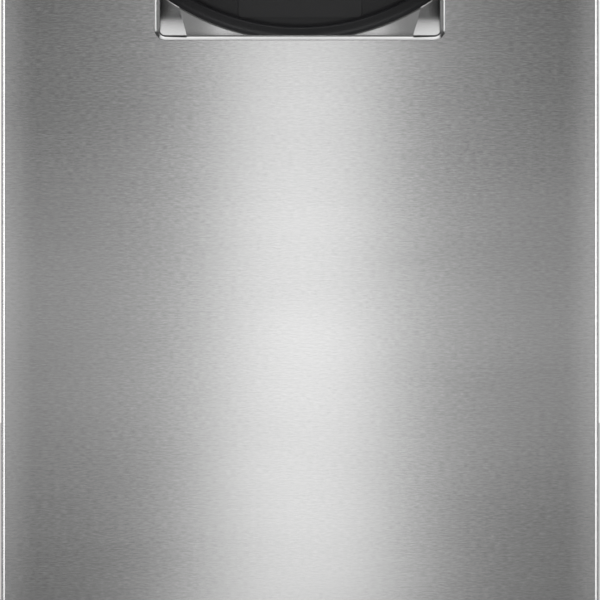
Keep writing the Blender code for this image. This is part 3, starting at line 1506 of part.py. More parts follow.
def make_pinion():
    """The motor's shaft with its pinion, in mesh with the drive gear at rest."""
    at = (0, MOTOR_Y, 0)
    axis = group("motor_axis", at)
    half_pitch = math.pi / PINION_TEETH
    mesh = outline_mesh([involute_outline(PINION_TEETH, -math.pi / 2 + half_pitch)], GEAR_FACE, "XY")
    pinion = add_piece("motor_pinion", mesh, BRIGHT, (0, MOTOR_Y, GEAR_LOW + GEAR_FACE / 2), axis)
    top = MOTOR_LOW + MOTOR_BORE_DEPTH - FIT
    low = (0, MOTOR_Y, GEAR_LOW + GEAR_FACE / 2)
    join(pinion, round_tool("motor_shaft", MOTOR_SHAFT_RADIUS, low, (0, MOTOR_Y, top)))


def chain_outline(offset):
    """The chain's loop round its three sprockets, at an offset from its pitch line."""
    wheels = [(-SCREW_X, RAM_Y), (SCREW_X, RAM_Y), (0, GEAR_Y)]
    radius = SPROCKET_RADIUS + offset
    steps = 10
    points = []
    for i, wheel in enumerate(wheels):
        before, after = wheels[i - 1], wheels[(i + 1) % len(wheels)]
        start = math.atan2(before[0] - wheel[0], wheel[1] - before[1])
        end = math.atan2(wheel[0] - after[0], after[1] - wheel[1])
        while end < start:
            end += 2 * math.pi
        for k in range(steps + 1):
            angle = start + (end - start) * k / steps
            points.append((wheel[0] + radius * math.cos(angle), wheel[1] + radius * math.sin(angle)))
    return points


def make_chain():
    """The chain as one loop: two rows of link plates round the sprockets' teeth, closed on the outside."""
    loops = [chain_outline(CHAIN_OUTWARD), chain_outline(-CHAIN_INWARD)]
    chain = add_piece("drive_chain", outline_mesh(loops, CHAIN_HEIGHT, "XY"), BRIGHT, (0, 0, CHAIN_Z))
    slot = [chain_outline(CHAIN_OUTWARD - CHAIN_WALL), chain_outline(-CHAIN_INWARD - THROUGH)]
    cut(chain, add_tool("chain_slot", outline_mesh(slot, CHAIN_SLOT, "XY"), (0, 0, CHAIN_Z)))


make_screws()
make_drive_gear()
make_pinion()
make_chain()

# ------------------------------------------------------------------ motor


def make_motor():
    """An upright motor on a plate over the base pan, its shaft pointing down through the pan."""
    half = MOTOR_PLATE_SIDE / 2
    low, high = PAN_TOP + FIT, PAN_TOP + FIT + MOTOR_PLATE
    plate_loop = rounded_rect((-half, MOTOR_Y - half), (half, MOTOR_Y + half), MOTOR_PLATE_CORNER, 3)
    hole = circle((0, MOTOR_Y), MOTOR_PLATE_HOLE)
    add_piece(
        "motor_plate",
        outline_mesh([plate_loop, hole], MOTOR_PLATE, "XY"),
        GALVANISED,
        (0, 0, (low + high) / 2),
    )
    bottom, top = MOTOR_LOW, MOTOR_LOW + MOTOR_HEIGHT
    profile = [
        (0, top),
        (MOTOR_BELL_RADIUS, top),
        (MOTOR_RADIUS, top - MOTOR_BELL),
        (MOTOR_RADIUS, bottom + MOTOR_BELL),
        (MOTOR_BELL_RADIUS, bottom),
        (MOTOR_SHAFT_RADIUS + RUN, bottom),
        (MOTOR_SHAFT_RADIUS + RUN, bottom + MOTOR_BORE_DEPTH),
        (0, bottom + MOTOR_BORE_DEPTH),
    ]
    turned("motor_housing", profile, PAINTED, (0, MOTOR_Y, 0))


make_motor()

# ------------------------------------------------------------------ console


def through_console(name, radius, x, sides=SIDES):
    """A round cutter through the inlay and the housing's front wall."""
    low = (x, CONSOLE_Y - THROUGH, CONTROL_Z)
    high = (x, HOUSING_FRONT_Y + 2 * THROUGH, CONTROL_Z)
    return round_tool(name, radius, low, high, "Y", sides)


def make_console():
    half = PANEL_WIDTH / 2
    fascia = shell(
        "console_fascia",
        (-half, CONSOLE_Y, CONSOLE_LOW),
        (half, CONSOLE_Y + CONSOLE_RETURN, CONSOLE_TOP),
        [(0, 1, 0)],
        CONSOLE_SKIN,
        BRUSHED,
        rounded=FOLD_RADIUS,
    )
    low = (-INLAY_WIDTH / 2, CONTROL_Z - INLAY_HEIGHT / 2)
    high = (INLAY_WIDTH / 2, CONTROL_Z + INLAY_HEIGHT / 2)
    thickness, at = across(CONSOLE_Y - THROUGH, CONSOLE_Y + THROUGH)
    cutout = rounded_rect((low[0] - FIT, low[1] - FIT), (high[0] + FIT, high[1] + FIT), INLAY_CORNER + FIT)
    cut(fascia, add_tool("inlay_cutout", outline_mesh([cutout], thickness, "XZ"), at))
    thickness, at = across(INLAY_FRONT_Y, INLAY_FRONT_Y + INLAY_THICKNESS)
    sheet = outline_mesh([rounded_rect(low, high, INLAY_CORNER)], thickness, "XZ")
    inlay = add_piece("control_inlay", sheet, GLOSS_BLACK, at)
    inset = CONSOLE_SIDE_GAP
    housing = shell(
        "console_housing",
        (-half + inset, HOUSING_FRONT_Y, CONSOLE_LOW + inset),
        (half - inset, HOUSING_BACK_Y, CONSOLE_TOP - inset),
        [(0, 1, 0)],
        CONSOLE_WALL,
        BLACK,
    )
    for piece in (inlay, housing):
        suffix = piece.name
        cut(piece, through_console(f"knob_hole_{suffix}", KNOB_SHAFT_RADIUS + RUN, KNOB_X, SMALL_SIDES))
        cut(piece, through_console(f"button_hole_{suffix}", BUTTON_RADIUS + RUN, BUTTON_X))
        cut(piece, through_console(f"lens_hole_{suffix}", LENS_RADIUS + FIT, LENS_X, SMALL_SIDES))
        cut(
            piece,
            box_tool(
                f"rocker_hole_{suffix}",
                (
                    ROCKER_X - ROCKER_WIDTH / 2 - RUN,
                    CONSOLE_Y - THROUGH,
                    CONTROL_Z - ROCKER_HEIGHT / 2 - ROCKER_GAP,
                ),
                (
                    ROCKER_X + ROCKER_WIDTH / 2 + RUN,
                    HOUSING_FRONT_Y + 2 * THROUGH,
                    CONTROL_Z + ROCKER_HEIGHT / 2 + ROCKER_GAP,
                ),
            ),
        )


def make_knob():
    """The key knob: a round body, a grip bar across it, and a shaft with a snap collar behind the housing."""
    front = INLAY_FRONT_Y - FIT
    nose = front - KNOB_RISE
    wall_back = HOUSING_FRONT_Y + CONSOLE_WALL
    at = (KNOB_X, front, CONTROL_Z)
    axis = group("key_knob_axis", at)
    collar = wall_back + FIT - front
    profile = [
        (0, collar + SNAP_DEPTH),
        (KNOB_SHAFT_RADIUS + SNAP_RISE, collar + SNAP_DEPTH),
        (KNOB_SHAFT_RADIUS + SNAP_RISE, collar),
        (KNOB_SHAFT_RADIUS, collar),
        (KNOB_SHAFT_RADIUS, 0),
        (KNOB_RADIUS, 0),
        (KNOB_RADIUS - KNOB_TAPER, -KNOB_BODY),
        (0, -KNOB_BODY),
    ]
    knob = turned("key_knob", profile, BLACK, at, "Y", axis)
    grip = KNOB_GRIP_WIDTH / 2
    join(
        knob,
        box_tool(
            "knob_grip",
            (KNOB_X - grip, nose, CONTROL_Z - KNOB_RADIUS + KNOB_GRIP_INSET),
            (KNOB_X + grip, front - KNOB_BODY / 2, CONTROL_Z + KNOB_RADIUS - KNOB_GRIP_INSET),
        ),
    )


def make_button():
    """The start button, held by a flange behind the housing's wall."""
    wall_back = HOUSING_FRONT_Y + CONSOLE_WALL
    front = INLAY_FRONT_Y - BUTTON_RISE
    at = (BUTTON_X, front, CONTROL_Z)
    axis = group("start_button_axis", at)
    flange = wall_back + FIT - front
    profile = [
        (0, flange + SNAP_DEPTH),
        (BUTTON_RADIUS + SNAP_RISE, flange + SNAP_DEPTH),
        (BUTTON_RADIUS + SNAP_RISE, flange),
        (BUTTON_RADIUS, flange),
        (BUTTON_RADIUS, SOFT_EDGE),
        (BUTTON_RADIUS - SOFT_EDGE, 0),
        (0, 0),
    ]
    turned("start_button", profile, BLACK, at, "Y", axis)


def make_lens():
    wall_back = HOUSING_FRONT_Y + CONSOLE_WALL
    front = INLAY_FRONT_Y - LENS_RISE
    flange = wall_back + FIT - front
    profile = [
        (0, flange + SNAP_DEPTH),
        (LENS_RADIUS + SNAP_RISE, flange + SNAP_DEPTH),
        (LENS_RADIUS + SNAP_RISE, flange),
        (LENS_RADIUS, flange),
        (LENS_RADIUS, SOFT_EDGE),
        (LENS_RADIUS - SOFT_EDGE, 0),
        (0, 0),
    ]
    turned("indicator_lens", profile, LENS, (LENS_X, front, CONTROL_Z), "Y", sides=SMALL_SIDES)


def make_rocker():
    """The fan's rocker switch, which tilts about a cross axis and rests with its upper half out."""
    pivot_y = INLAY_FRONT_Y + ROCKER_DEPTH
    axis = group("fan_rocker_axis", (ROCKER_X, pivot_y, CONTROL_Z))
    half = ROCKER_HEIGHT / 2
    low = half - ROCKER_TAPER
    loop = [
        (-ROCKER_DEPTH, -half),
        (-ROCKER_WAIST, 0),
        (-ROCKER_DEPTH, half),
        (ROCKER_BACK, low),
        (ROCKER_BACK, -low),
    ]
    turned_loop = [
        (
            y * math.cos(ROCKER_TILT) - z * math.sin(ROCKER_TILT),
            y * math.sin(ROCKER_TILT) + z * math.cos(ROCKER_TILT),
        )
        for y, z in loop
    ]
    mesh = outline_mesh([turned_loop], ROCKER_WIDTH, "YZ")
    add_piece("fan_rocker", mesh, BLACK, axis.location, axis)


make_console()
make_knob()
make_button()
make_lens()
make_rocker()

# ------------------------------------------------------------------ fan, filter and electrics


def scroll_outline(inset):
    """The fan's scroll seen from the front, with its outlet to +X, moved in by an inset."""
    radius = FAN_RADIUS - inset
    steps = 20
    outlet_low = FAN_RADIUS - FAN_OUTLET_HEIGHT + inset
    start = math.pi / 2
    sweep = 1.5 * math.pi + math.asin(outlet_low / radius)
    arc = [
        (radius * math.cos(start + sweep * i / steps), radius * math.sin(start + sweep * i / steps))
        for i in range(steps + 1)
    ]
    reach = FAN_OUTLET_REACH - inset
    return arc + [(reach, outlet_low), (reach, radius)]


def make_fan():
    """The odour fan: a scroll on the rear panel, with its inlet to the front and a wheel on its own shaft."""
    back = REAR_INNER_Y - FIT
    front = back - FAN_DEPTH
    thickness, at = across(front, back)
    mesh = outline_mesh([scroll_outline(0)], thickness, "XZ")
    housing = add_piece("fan_housing", mesh, BLACK, (0, at[1], FAN_Z))
    thickness, at = across(front + FAN_WALL, back - FAN_WALL)
    hollow = outline_mesh([scroll_outline(FAN_WALL)], thickness, "XZ")
    cut(housing, add_tool("scroll_hollow", hollow, (0, at[1], FAN_Z)))
    low, high = (0, front - THROUGH, FAN_Z), (0, front + FAN_WALL + THROUGH, FAN_Z)
    cut(housing, round_tool("fan_inlet", FAN_INLET_RADIUS, low, high, "Y"))
    outlet = FAN_OUTLET_HEIGHT / 2 - FAN_WALL
    cut(
        housing,
        box_tool(
            "fan_outlet",
            (FAN_RADIUS, back - FAN_WALL - THROUGH, vent_z() - outlet),
            (FAN_OUTLET_REACH - FAN_WALL, back + THROUGH, vent_z() + outlet),
        ),
    )
    boss_front = back - FAN_WALL - FAN_BOSS
    boss = ring_profile(FAN_BOSS_RADIUS, FAN_SHAFT_RADIUS + RUN, 0, FAN_BOSS + FAN_WALL / 2)
    join(housing, turned_tool("fan_boss", boss, (0, boss_front, FAN_Z), "Y", SMALL_SIDES))

    wheel_back = boss_front - FIT
    axis = group("fan_wheel_axis", (0, wheel_back, FAN_Z))
    blades = toothed_outline(
        WHEEL_BLADES,
        WHEEL_HUB_RADIUS,
        WHEEL_RADIUS,
        WHEEL_BLADE_SHEET * WHEEL_BLADES / (2 * math.pi * WHEEL_HUB_RADIUS),
        WHEEL_BLADE_SHEET * WHEEL_BLADES / (2 * math.pi * WHEEL_RADIUS),
    )
    wheel = add_piece(
        "fan_wheel",
        outline_mesh([blades], WHEEL_DEPTH, "XZ"),
        BLACK,
        (0, wheel_back - WHEEL_DEPTH / 2, FAN_Z),
        axis,
    )
    low, high = (0, wheel_back - WHEEL_DEPTH / 2, FAN_Z), (0, back - FAN_WALL - FIT, FAN_Z)
    join(wheel, round_tool("fan_shaft", FAN_SHAFT_RADIUS, low, high, "Y", SMALL_SIDES))

    half = FILTER_SIDE / 2
    box(
        "filter_cartridge",
        (-half, front - FIT - FILTER_DEPTH, FAN_Z - half),
        (half, front - FIT, FAN_Z + half),
        CARBON,
        rounded=FILTER_EDGE,
    )


def make_electrics():
    half = JUNCTION_WIDTH / 2
    rise = JUNCTION_HEIGHT / 2
    shell(
        "junction_box",
        (JUNCTION_X - half, REAR_INNER_Y - FIT - JUNCTION_DEPTH, JUNCTION_Z - rise),
        (JUNCTION_X + half, REAR_INNER_Y - FIT, JUNCTION_Z + rise),
        [(0, 1, 0)],
        JUNCTION_WALL,
        BLACK,
    )
    face = REAR_FACE_Y + FIT
    gland_profile = [
        (GLAND_RADIUS, DEPTH / 2 - face),
        (GLAND_RADIUS, 0),
        (GLAND_NECK_RADIUS, 0),
        (GLAND_NECK_RADIUS, -GLAND_REACH),
        (GLAND_BORE, -GLAND_REACH),
        (GLAND_BORE, DEPTH / 2 - face),
    ]
    turned("cord_gland", gland_profile, BLACK, (JUNCTION_X, face, JUNCTION_Z), "Y", sides=SMALL_SIDES)

    width, depth, height = LIMIT_SIZE
    top = TOP_BEARING_TOP
    limit_y = RAM_Y + (CROSSHEAD_LENGTH - CROSSHEAD_WALL) / 2
    limit = box(
        "limit_switch",
        (LIMIT_X - width / 2, limit_y - depth / 2, top - height),
        (LIMIT_X + width / 2, limit_y + depth / 2, top),
        BLACK,
    )
    low, high = (LIMIT_X, limit_y, CROSSHEAD_TOP + LIMIT_CLEAR), (LIMIT_X, limit_y, top - height / 2)
    join(limit, round_tool("limit_rod", LIMIT_ROD_RADIUS, low, high, "Z", SMALL_SIDES))

    width, depth, height = DRAWER_SWITCH_SIZE
    front = CABINET_FRONT_Y + WRAPPER_SHEET + DRAWER_SWITCH_SET
    switch = box(
        "drawer_switch",
        (SEAT_X - width, front, DRAWER_SWITCH_Z - height / 2),
        (SEAT_X, front + depth, DRAWER_SWITCH_Z + height / 2),
        BLACK,
    )
    x = INSIDE_X - FLANGE_WIDTH - 2 * RUN
    rise = DRAWER_SWITCH_LEVER / 2
    join(
        switch,
        box_tool(
            "drawer_switch_lever",
            (x - DRAWER_SWITCH_LEVER, DRAWER_BACK_Y + DRAWER_SWITCH_CLEAR, DRAWER_SWITCH_Z - rise),
            (x, front + depth / 2, DRAWER_SWITCH_Z + rise),
        ),
    )


make_fan()
make_electrics()
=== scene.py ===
# %% [markdown]
# # A trash compactor, dressed
# The machine's solids come from the frame, all in metres, with the front towards -Y. This lesson gives each
# of them the edges, the fittings and the finish of the real thing, then sets it on a pale floor in soft
# light. The first cell loads the frame and keeps its box.

import json
import math

import bmesh
import bpy
from mathutils import Matrix, Vector


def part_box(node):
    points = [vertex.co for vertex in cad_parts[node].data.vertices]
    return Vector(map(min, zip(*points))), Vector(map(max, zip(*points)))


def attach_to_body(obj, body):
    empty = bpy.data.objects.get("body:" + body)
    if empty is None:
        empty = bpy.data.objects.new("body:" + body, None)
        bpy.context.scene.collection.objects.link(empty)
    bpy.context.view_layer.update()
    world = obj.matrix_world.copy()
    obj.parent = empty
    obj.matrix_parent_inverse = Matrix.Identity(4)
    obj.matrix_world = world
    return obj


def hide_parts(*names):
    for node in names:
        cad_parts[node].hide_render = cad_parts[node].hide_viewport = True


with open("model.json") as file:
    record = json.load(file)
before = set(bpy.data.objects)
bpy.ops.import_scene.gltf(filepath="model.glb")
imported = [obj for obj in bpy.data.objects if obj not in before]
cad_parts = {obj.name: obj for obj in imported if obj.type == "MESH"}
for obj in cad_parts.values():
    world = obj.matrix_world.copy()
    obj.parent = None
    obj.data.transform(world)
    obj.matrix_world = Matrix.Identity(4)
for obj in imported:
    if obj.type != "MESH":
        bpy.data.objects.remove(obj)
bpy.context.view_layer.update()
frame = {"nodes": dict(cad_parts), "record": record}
nodes = frame["nodes"]
scene = bpy.context.scene
MM = 0.001
LEFT_RIGHT = (-1, 1)

# %% [markdown]
# ## Camera
# A flat front is best seen straight on, from far away through a long lens, so that its sides stay parallel.
# The camera looks along +Y at a patch of the drawer front that is as wide as the machine, low enough to
# show the lower half of the handle's pocket at its top edge. No lens shift is needed.

# %% Camera
VIEW_WIDTH = 0.3813  # what the picture takes in at the drawer's face
VIEW_CENTRE_Z = 0.5080
CAMERA_DISTANCE = 2.6
SENSOR = 36.0

face_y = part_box("drawer_front")[0].y
camera_data = bpy.data.cameras.new("camera")
camera_data.sensor_width = SENSOR
camera_data.lens = SENSOR * CAMERA_DISTANCE / VIEW_WIDTH
camera = bpy.data.objects.new("camera", camera_data)
camera.location = (0, face_y - CAMERA_DISTANCE, VIEW_CENTRE_Z)
camera.rotation_euler = (math.radians(90), 0, 0)
scene.collection.objects.link(camera)
scene.camera = camera
scene.view_settings.view_transform = "Standard"
print("lens, mm:", round(camera_data.lens))

# %% [markdown]
# ## Light
# Brushed steel shows the lamps, stretched across its grain, so the lamps are large and plain. Tall ones
# behind the camera draw upright bands on the front: a strip and a wider wing make its bright middle, and
# weaker strips beside them shape its margins and the glow next to its folds. A wide flat one lifts the
# whole front a little at mid height, and a small low one carries the middle down to the toe kick. Three on
# each side light the folded edges and the cabinet's sides, one overhead lights the top and softens the
# shadow on the floor, and one behind shows the back. The room itself is pale, but polished things would
# lose their dark parts in it, so reflections see it almost dark.

# %% Lamps
HEART = (0, 0, 0.45)  # the machine's middle, which the outer lamps face
FRONT_MIDDLE = (0, 0, 0.5)
STRIP_DISTANCE = 3.2  # in front of the machine's middle


def soft_box(name, size, power, place, aim=HEART):
    """A rectangular area lamp, in metres and watts, aimed at a point. Surfaces see it, the camera doesn't."""
    data = bpy.data.lights.new(name, "AREA")
    data.shape = "RECTANGLE"
    data.size, data.size_y = size
    data.energy = power
    lamp = bpy.data.objects.new(name, data)
    lamp.location = place
    lamp.rotation_euler = (Vector(aim) - Vector(place)).to_track_quat("-Z", "Y").to_euler()
    lamp.visible_camera = False
    scene.collection.objects.link(lamp)
    print("lamp", name, "at", place)


soft_box("front_strip", (0.21, 1.6), 1.34, (0, -STRIP_DISTANCE, 0.55), FRONT_MIDDLE)
soft_box("front_wing", (0.65, 1.6), 0.74, (0, -STRIP_DISTANCE - 0.05, 0.55), FRONT_MIDDLE)
for side in LEFT_RIGHT:
    margin = (side * 0.2, 0, 0.5)
    soft_box("front_side_strip", (0.16, 1.3), 0.16, (side * 0.47, -STRIP_DISTANCE, 0.45), margin)
    soft_box("front_edge_strip", (0.2, 1.6), 0.45, (side * 0.64, -STRIP_DISTANCE, 0.55), margin)
soft_box("front_fill", (2.0, 0.22), 0.48, (0, -1.3, 0.49), (0, 0, 0.49))
soft_box("front_low_strip", (0.3, 0.3), 0.17, (0, -2.2, 0.16), (0, 0, 0.12))
for side in LEFT_RIGHT:
    soft_box("edge_strip", (0.4, 1.6), 4.4, (side * 2.405, -1.667, 0.6))
    soft_box("side_wing", (0.9, 1.6), 1.4, (side * 2.7, -0.75, 0.6))
    soft_box("side_soft_box", (1.4, 1.8), 8, (side * 2.8, 0.4, 1.1))
soft_box("top_soft_box", (2.6, 1.8), 22, (0, -0.4, 2.7))
soft_box("back_soft_box", (1.6, 1.6), 9, (0.6, 3.0, 1.6))

# %% Colours and nodes
def linear(code):
    """An sRGB hex colour as linear RGBA, which is what the shaders want."""
    parts = [int(code[i : i + 2], 16) / 255 for i in (1, 3, 5)]
    return tuple(p / 12.92 if p <= 0.04045 else ((p + 0.055) / 1.055) ** 2.4 for p in parts) + (1,)


def add(tree, kind, settings=None, links=None):
    """Adds a node. Settings are its properties or its inputs' values; links join outputs to its inputs."""
    made = tree.nodes.new(kind)
    for key, value in (settings or {}).items():
        if isinstance(key, str) and hasattr(made, key):
            setattr(made, key, value)
        else:
            made.inputs[key].default_value = value
    for key, output in (links or {}).items():
        tree.links.new(output, made.inputs[key])
    return made


PAPER_WHITE = linear("#f6f6f5")
print("white, linear:", [round(part, 3) for part in PAPER_WHITE])

# %% World
WORLD_LIGHT = 0.75
WORLD_SEEN_BY_METAL = 0.07
world = bpy.data.worlds.new("studio")
scene.world = world
world.use_nodes = True
tree = world.node_tree
background = tree.nodes["Background"]
background.inputs["Color"].default_value = PAPER_WHITE
ray = add(tree, "ShaderNodeLightPath")
to_metal = add(
    tree,
    "ShaderNodeMapRange",
    {"To Min": WORLD_LIGHT, "To Max": WORLD_SEEN_BY_METAL},
    {"Value": ray.outputs["Is Glossy Ray"]},
)
seen_directly = add(
    tree,
    "ShaderNodeMath",
    {"operation": "MAXIMUM"},
    {0: ray.outputs["Is Camera Ray"], 1: ray.outputs["Is Transmission Ray"]},
)
strength = add(
    tree,
    "ShaderNodeMapRange",
    {"To Max": 1.0},
    {"Value": seen_directly.outputs[0], "To Min": to_metal.outputs["Result"]},
)
tree.links.new(strength.outputs["Result"], background.inputs["Strength"])
print("world light:", WORLD_LIGHT)

# %% [markdown]
# ## Floor
# A sheet of pale studio paper, wide enough to run past the picture from every side. It is staged, so it
# isn't part of the machine. A faint fibre in its tone keeps it from looking like a void. Far behind the
# machine its colour fades to white: painted light, standing for the light on a lit backdrop. Reflections
# see it darker, as they do the room, or the front's lower corners would be pale.


# %% Helpers for finishes
def finish(name, colour, metallic=0.0, roughness=0.5, **constants):
    """A new material with its shader's plain sockets set. Returns the material, its tree and its shader."""
    material = bpy.data.materials.new(name)
    material.use_nodes = True
    shader = material.node_tree.nodes["Principled BSDF"]
    shader.inputs["Base Color"].default_value = linear(colour)
    shader.inputs["Metallic"].default_value = metallic
    shader.inputs["Roughness"].default_value = roughness
    for key, value in constants.items():
        shader.inputs[key.replace("_", " ").title().replace("Ior", "IOR")].default_value = value
    return material, material.node_tree, shader


def grain(tree, sizes, detail=2.0, rough=0.5, kind="ShaderNodeTexNoise", **more):
    """A pattern whose features are about those sizes along X, Y and Z, in metres, whatever way it lies."""
    where = add(tree, "ShaderNodeTexCoord")
    scaled = add(
        tree,
        "ShaderNodeMapping",
        {"Scale": tuple(1 / size for size in sizes)},
        {"Vector": where.outputs["Object"]},
    )
    settings = {"Scale": 1.0, **more}
    if kind == "ShaderNodeTexNoise":
        settings.update({"Detail": detail, "Roughness": rough})
    return add(tree, kind, settings, {"Vector": scaled.outputs["Vector"]})


def spread(tree, value, low, high, start=0.3, end=0.7):
    """A value that runs from start to end, which is what a noise mostly does, stretched over low to high."""
    return add(
        tree,
        "ShaderNodeMapRange",
        {"From Min": start, "From Max": end, "To Min": low, "To Max": high},
        {"Value": value},
    ).outputs["Result"]


def tint(tree, shader, dark, light, amount):
    """The base colour runs from dark to light with amount."""
    mixed = add(tree, "ShaderNodeMix", {"data_type": "RGBA", 6: linear(dark), 7: linear(light)}, {0: amount})
    tree.links.new(mixed.outputs[2], shader.inputs["Base Color"])
    return mixed


def relief(tree, shader, height, depth, strength=1.0):
    """A bump as deep as the real one, in metres."""
    bump = add(tree, "ShaderNodeBump", {"Strength": strength, "Distance": depth}, {"Height": height})
    tree.links.new(bump.outputs["Normal"], shader.inputs["Normal"])


print("helpers:", [helper.__name__ for helper in (finish, grain, spread, tint, relief)])

# %% Paper
FIBRE = (12 * MM, 12 * MM, 12 * MM)  # real fibres are finer than shows, so these are clumps of them
PAPER_FADE = (2.6, 4.2)  # metres behind the machine
PAPER_SEEN_BY_METAL = 0.35
paper, tree, shader = finish("studio_paper", "#b0b0ae", roughness=0.9)
fibre = grain(tree, FIBRE, detail=4)
sheet = tint(tree, shader, "#acacab", "#b3b3b1", spread(tree, fibre.outputs["Fac"], 0, 1))
# Painted light: far behind the machine the paper's colour is made paler, up to white, as a lit backdrop would
# look.
lie = add(tree, "ShaderNodeTexCoord")
away = add(tree, "ShaderNodeSeparateXYZ", None, {"Vector": lie.outputs["Object"]})
paler = spread(tree, away.outputs["Y"], 0, 1, *PAPER_FADE)
faded = add(tree, "ShaderNodeMix", {"data_type": "RGBA", 7: PAPER_WHITE}, {0: paler, 6: sheet.outputs[2]})
share = add(
    tree,
    "ShaderNodeMapRange",
    {"To Min": 1.0, "To Max": PAPER_SEEN_BY_METAL},
    {"Value": add(tree, "ShaderNodeLightPath").outputs["Is Glossy Ray"]},
)
shown = add(
    tree,
    "ShaderNodeVectorMath",
    {"operation": "SCALE"},
    {0: faded.outputs[2], "Scale": share.outputs["Result"]},
)
tree.links.new(shown.outputs["Vector"], shader.inputs["Base Color"])
print("paper fades at, m:", PAPER_FADE)


# %% Floor
def mesh_object(name, work, material, smooth=32):
    """Turns a bmesh into an object with that material, smooth up to an angle in degrees."""
    mesh = bpy.data.meshes.new(name)
    bmesh.ops.recalc_face_normals(work, faces=work.faces)
    work.to_mesh(mesh)
    work.free()
    mesh.shade_smooth()
    mesh.set_sharp_from_angle(angle=math.radians(smooth))
    mesh.materials.append(material)
    made = bpy.data.objects.new(name, mesh)
    scene.collection.objects.link(made)
    return made


FLOOR_HALF = 14.0
FLOOR_CORNERS = [(-1, -1), (1, -1), (1, 1), (-1, 1)]
work = bmesh.new()
work.faces.new([work.verts.new((x * FLOOR_HALF, y * FLOOR_HALF, 0)) for x, y in FLOOR_CORNERS])
floor = mesh_object("studio_floor", work, paper)
print("floor, m:", 2 * FLOOR_HALF)

# %% [markdown]
# ## Stainless steel, brushed and satin
# The front is type 430 stainless sheet, drawn under an abrasive belt along its width. The belt leaves fine
# parallel scratches: they catch the light as short level streaks, and they smear every reflection upright,
# which is why the lamps behind the camera turn into one soft band. The shader's anisotropy gives the smear,
# turned a quarter so that it stands upright on a level grain. Real scratches are a few hundredths of a
# millimetre wide; they are drawn 0.8 mm wide and 4 mm long, as fine as shows, with a few longer ones among
# them and a slow clouding. The scoop of the handle is the same steel, pressed and then polished with a
# finer wheel, so it is smoother and has hardly any grain.

# %% Stainless steel
STREAK = (4 * MM, 4 * MM, 0.8 * MM)
LONG_STREAK = (45 * MM, 45 * MM, 1.3 * MM)
CLOUD = (160 * MM, 160 * MM, 50 * MM)
LONG_SHARE = 0.15
CLOUD_SHARE = 0.15
QUARTER_TURN = 0.25


def blend(tree, first, second, share):
    """Two values mixed, with that share of the second."""
    return add(tree, "ShaderNodeMix", {"data_type": "FLOAT", 0: share}, {2: first, 3: second}).outputs[0]


def brushed_steel(name, dark, light, roughness, anisotropic, contrast):
    """Stainless sheet brushed along X, or along Y on the sides."""
    material, tree, shader = finish(
        name, light, 1.0, roughness, anisotropic=anisotropic, anisotropic_rotation=QUARTER_TURN
    )
    turn = add(tree, "ShaderNodeTangent", {"direction_type": "RADIAL", "axis": "Z"})
    tree.links.new(turn.outputs["Tangent"], shader.inputs["Tangent"])
    short = spread(tree, grain(tree, STREAK, 3.0, 0.65).outputs["Fac"], 0, 1)
    drawn = spread(tree, grain(tree, LONG_STREAK, 2.0, 0.5).outputs["Fac"], 0, 1)
    both = blend(tree, short, drawn, LONG_SHARE)
    cloudy = spread(tree, grain(tree, CLOUD, 1.0).outputs["Fac"], 0, 1)
    tint(tree, shader, dark, light, blend(tree, both, cloudy, CLOUD_SHARE))
    low, high = roughness * (1 - contrast), roughness * (1 + contrast)
    tree.links.new(spread(tree, both, low, high, 0, 1), shader.inputs["Roughness"])
    return material


BRUSHED = brushed_steel("stainless_430_brushed", "#b4b4b4", "#dbdbdb", 0.20, 0.85, 0.14)
SATIN = brushed_steel("stainless_430_satin", "#cbcbcb", "#d2d2d2", 0.25, 0.8, 0.05)
print("brushed streaks, mm:", [round(s / MM, 2) for s in STREAK])

# %% [markdown]
# ## Other metals
# Galvanised sheet has been through a bath of zinc, which freezes into flat crystals a few millimetres
# across: the spangle, each a slightly different grey. Turned and machined steel keeps the tool's fine rings
# and a film of oil. Zinc plating is brighter and bluish. Bearing bronze is a warm turned metal, dull where
# oil soaks it. A tool feeds a tenth of a millimetre or so for each turn; its rings are drawn 0.45 mm apart,
# as fine as shows. The spangle is a cell pattern with one grey for each cell, and the rings are a noise
# that is thin along the axis and stretched round it. An image could give both, but it would have to be laid
# on by hand.

# %% Zinc, machined steel, bronze
SPANGLE = (6 * MM, 6 * MM, 6 * MM)
GALVANISED, tree, shader = finish("steel_galvanised", "#a7abae", 0.85, 0.42)
crystal = grain(tree, SPANGLE, kind="ShaderNodeTexVoronoi")
pale = add(tree, "ShaderNodeSeparateColor", links={0: crystal.outputs["Color"]})
tint(tree, shader, "#a0a4a7", "#b0b4b7", pale.outputs[0])
tree.links.new(spread(tree, pale.outputs[1], 0.40, 0.47, 0, 1), shader.inputs["Roughness"])

TOOL_RING = (40 * MM, 40 * MM, 0.45 * MM)


def turned_metal(name, dark, light, roughness):
    """A metal turned round its own Z axis, with the tool's rings."""
    material, tree, shader = finish(name, light, 1.0, roughness, anisotropic=0.4)
    rings = spread(tree, grain(tree, TOOL_RING, 2.0).outputs["Fac"], 0, 1)
    tint(tree, shader, dark, light, rings)
    tree.links.new(spread(tree, rings, roughness * 0.85, roughness * 1.2, 0, 1), shader.inputs["Roughness"])
    relief(tree, shader, rings, 0.01 * MM)
    return material


MACHINED = turned_metal("steel_machined_oiled", "#86868a", "#a3a3a6", 0.32)
ZINC = turned_metal("steel_zinc_plated", "#b3b8bd", "#c9ced2", 0.28)
BRONZE = turned_metal("bronze_turned", "#a9793f", "#c4934f", 0.34)
print("spangle, mm:", SPANGLE[0] / MM)

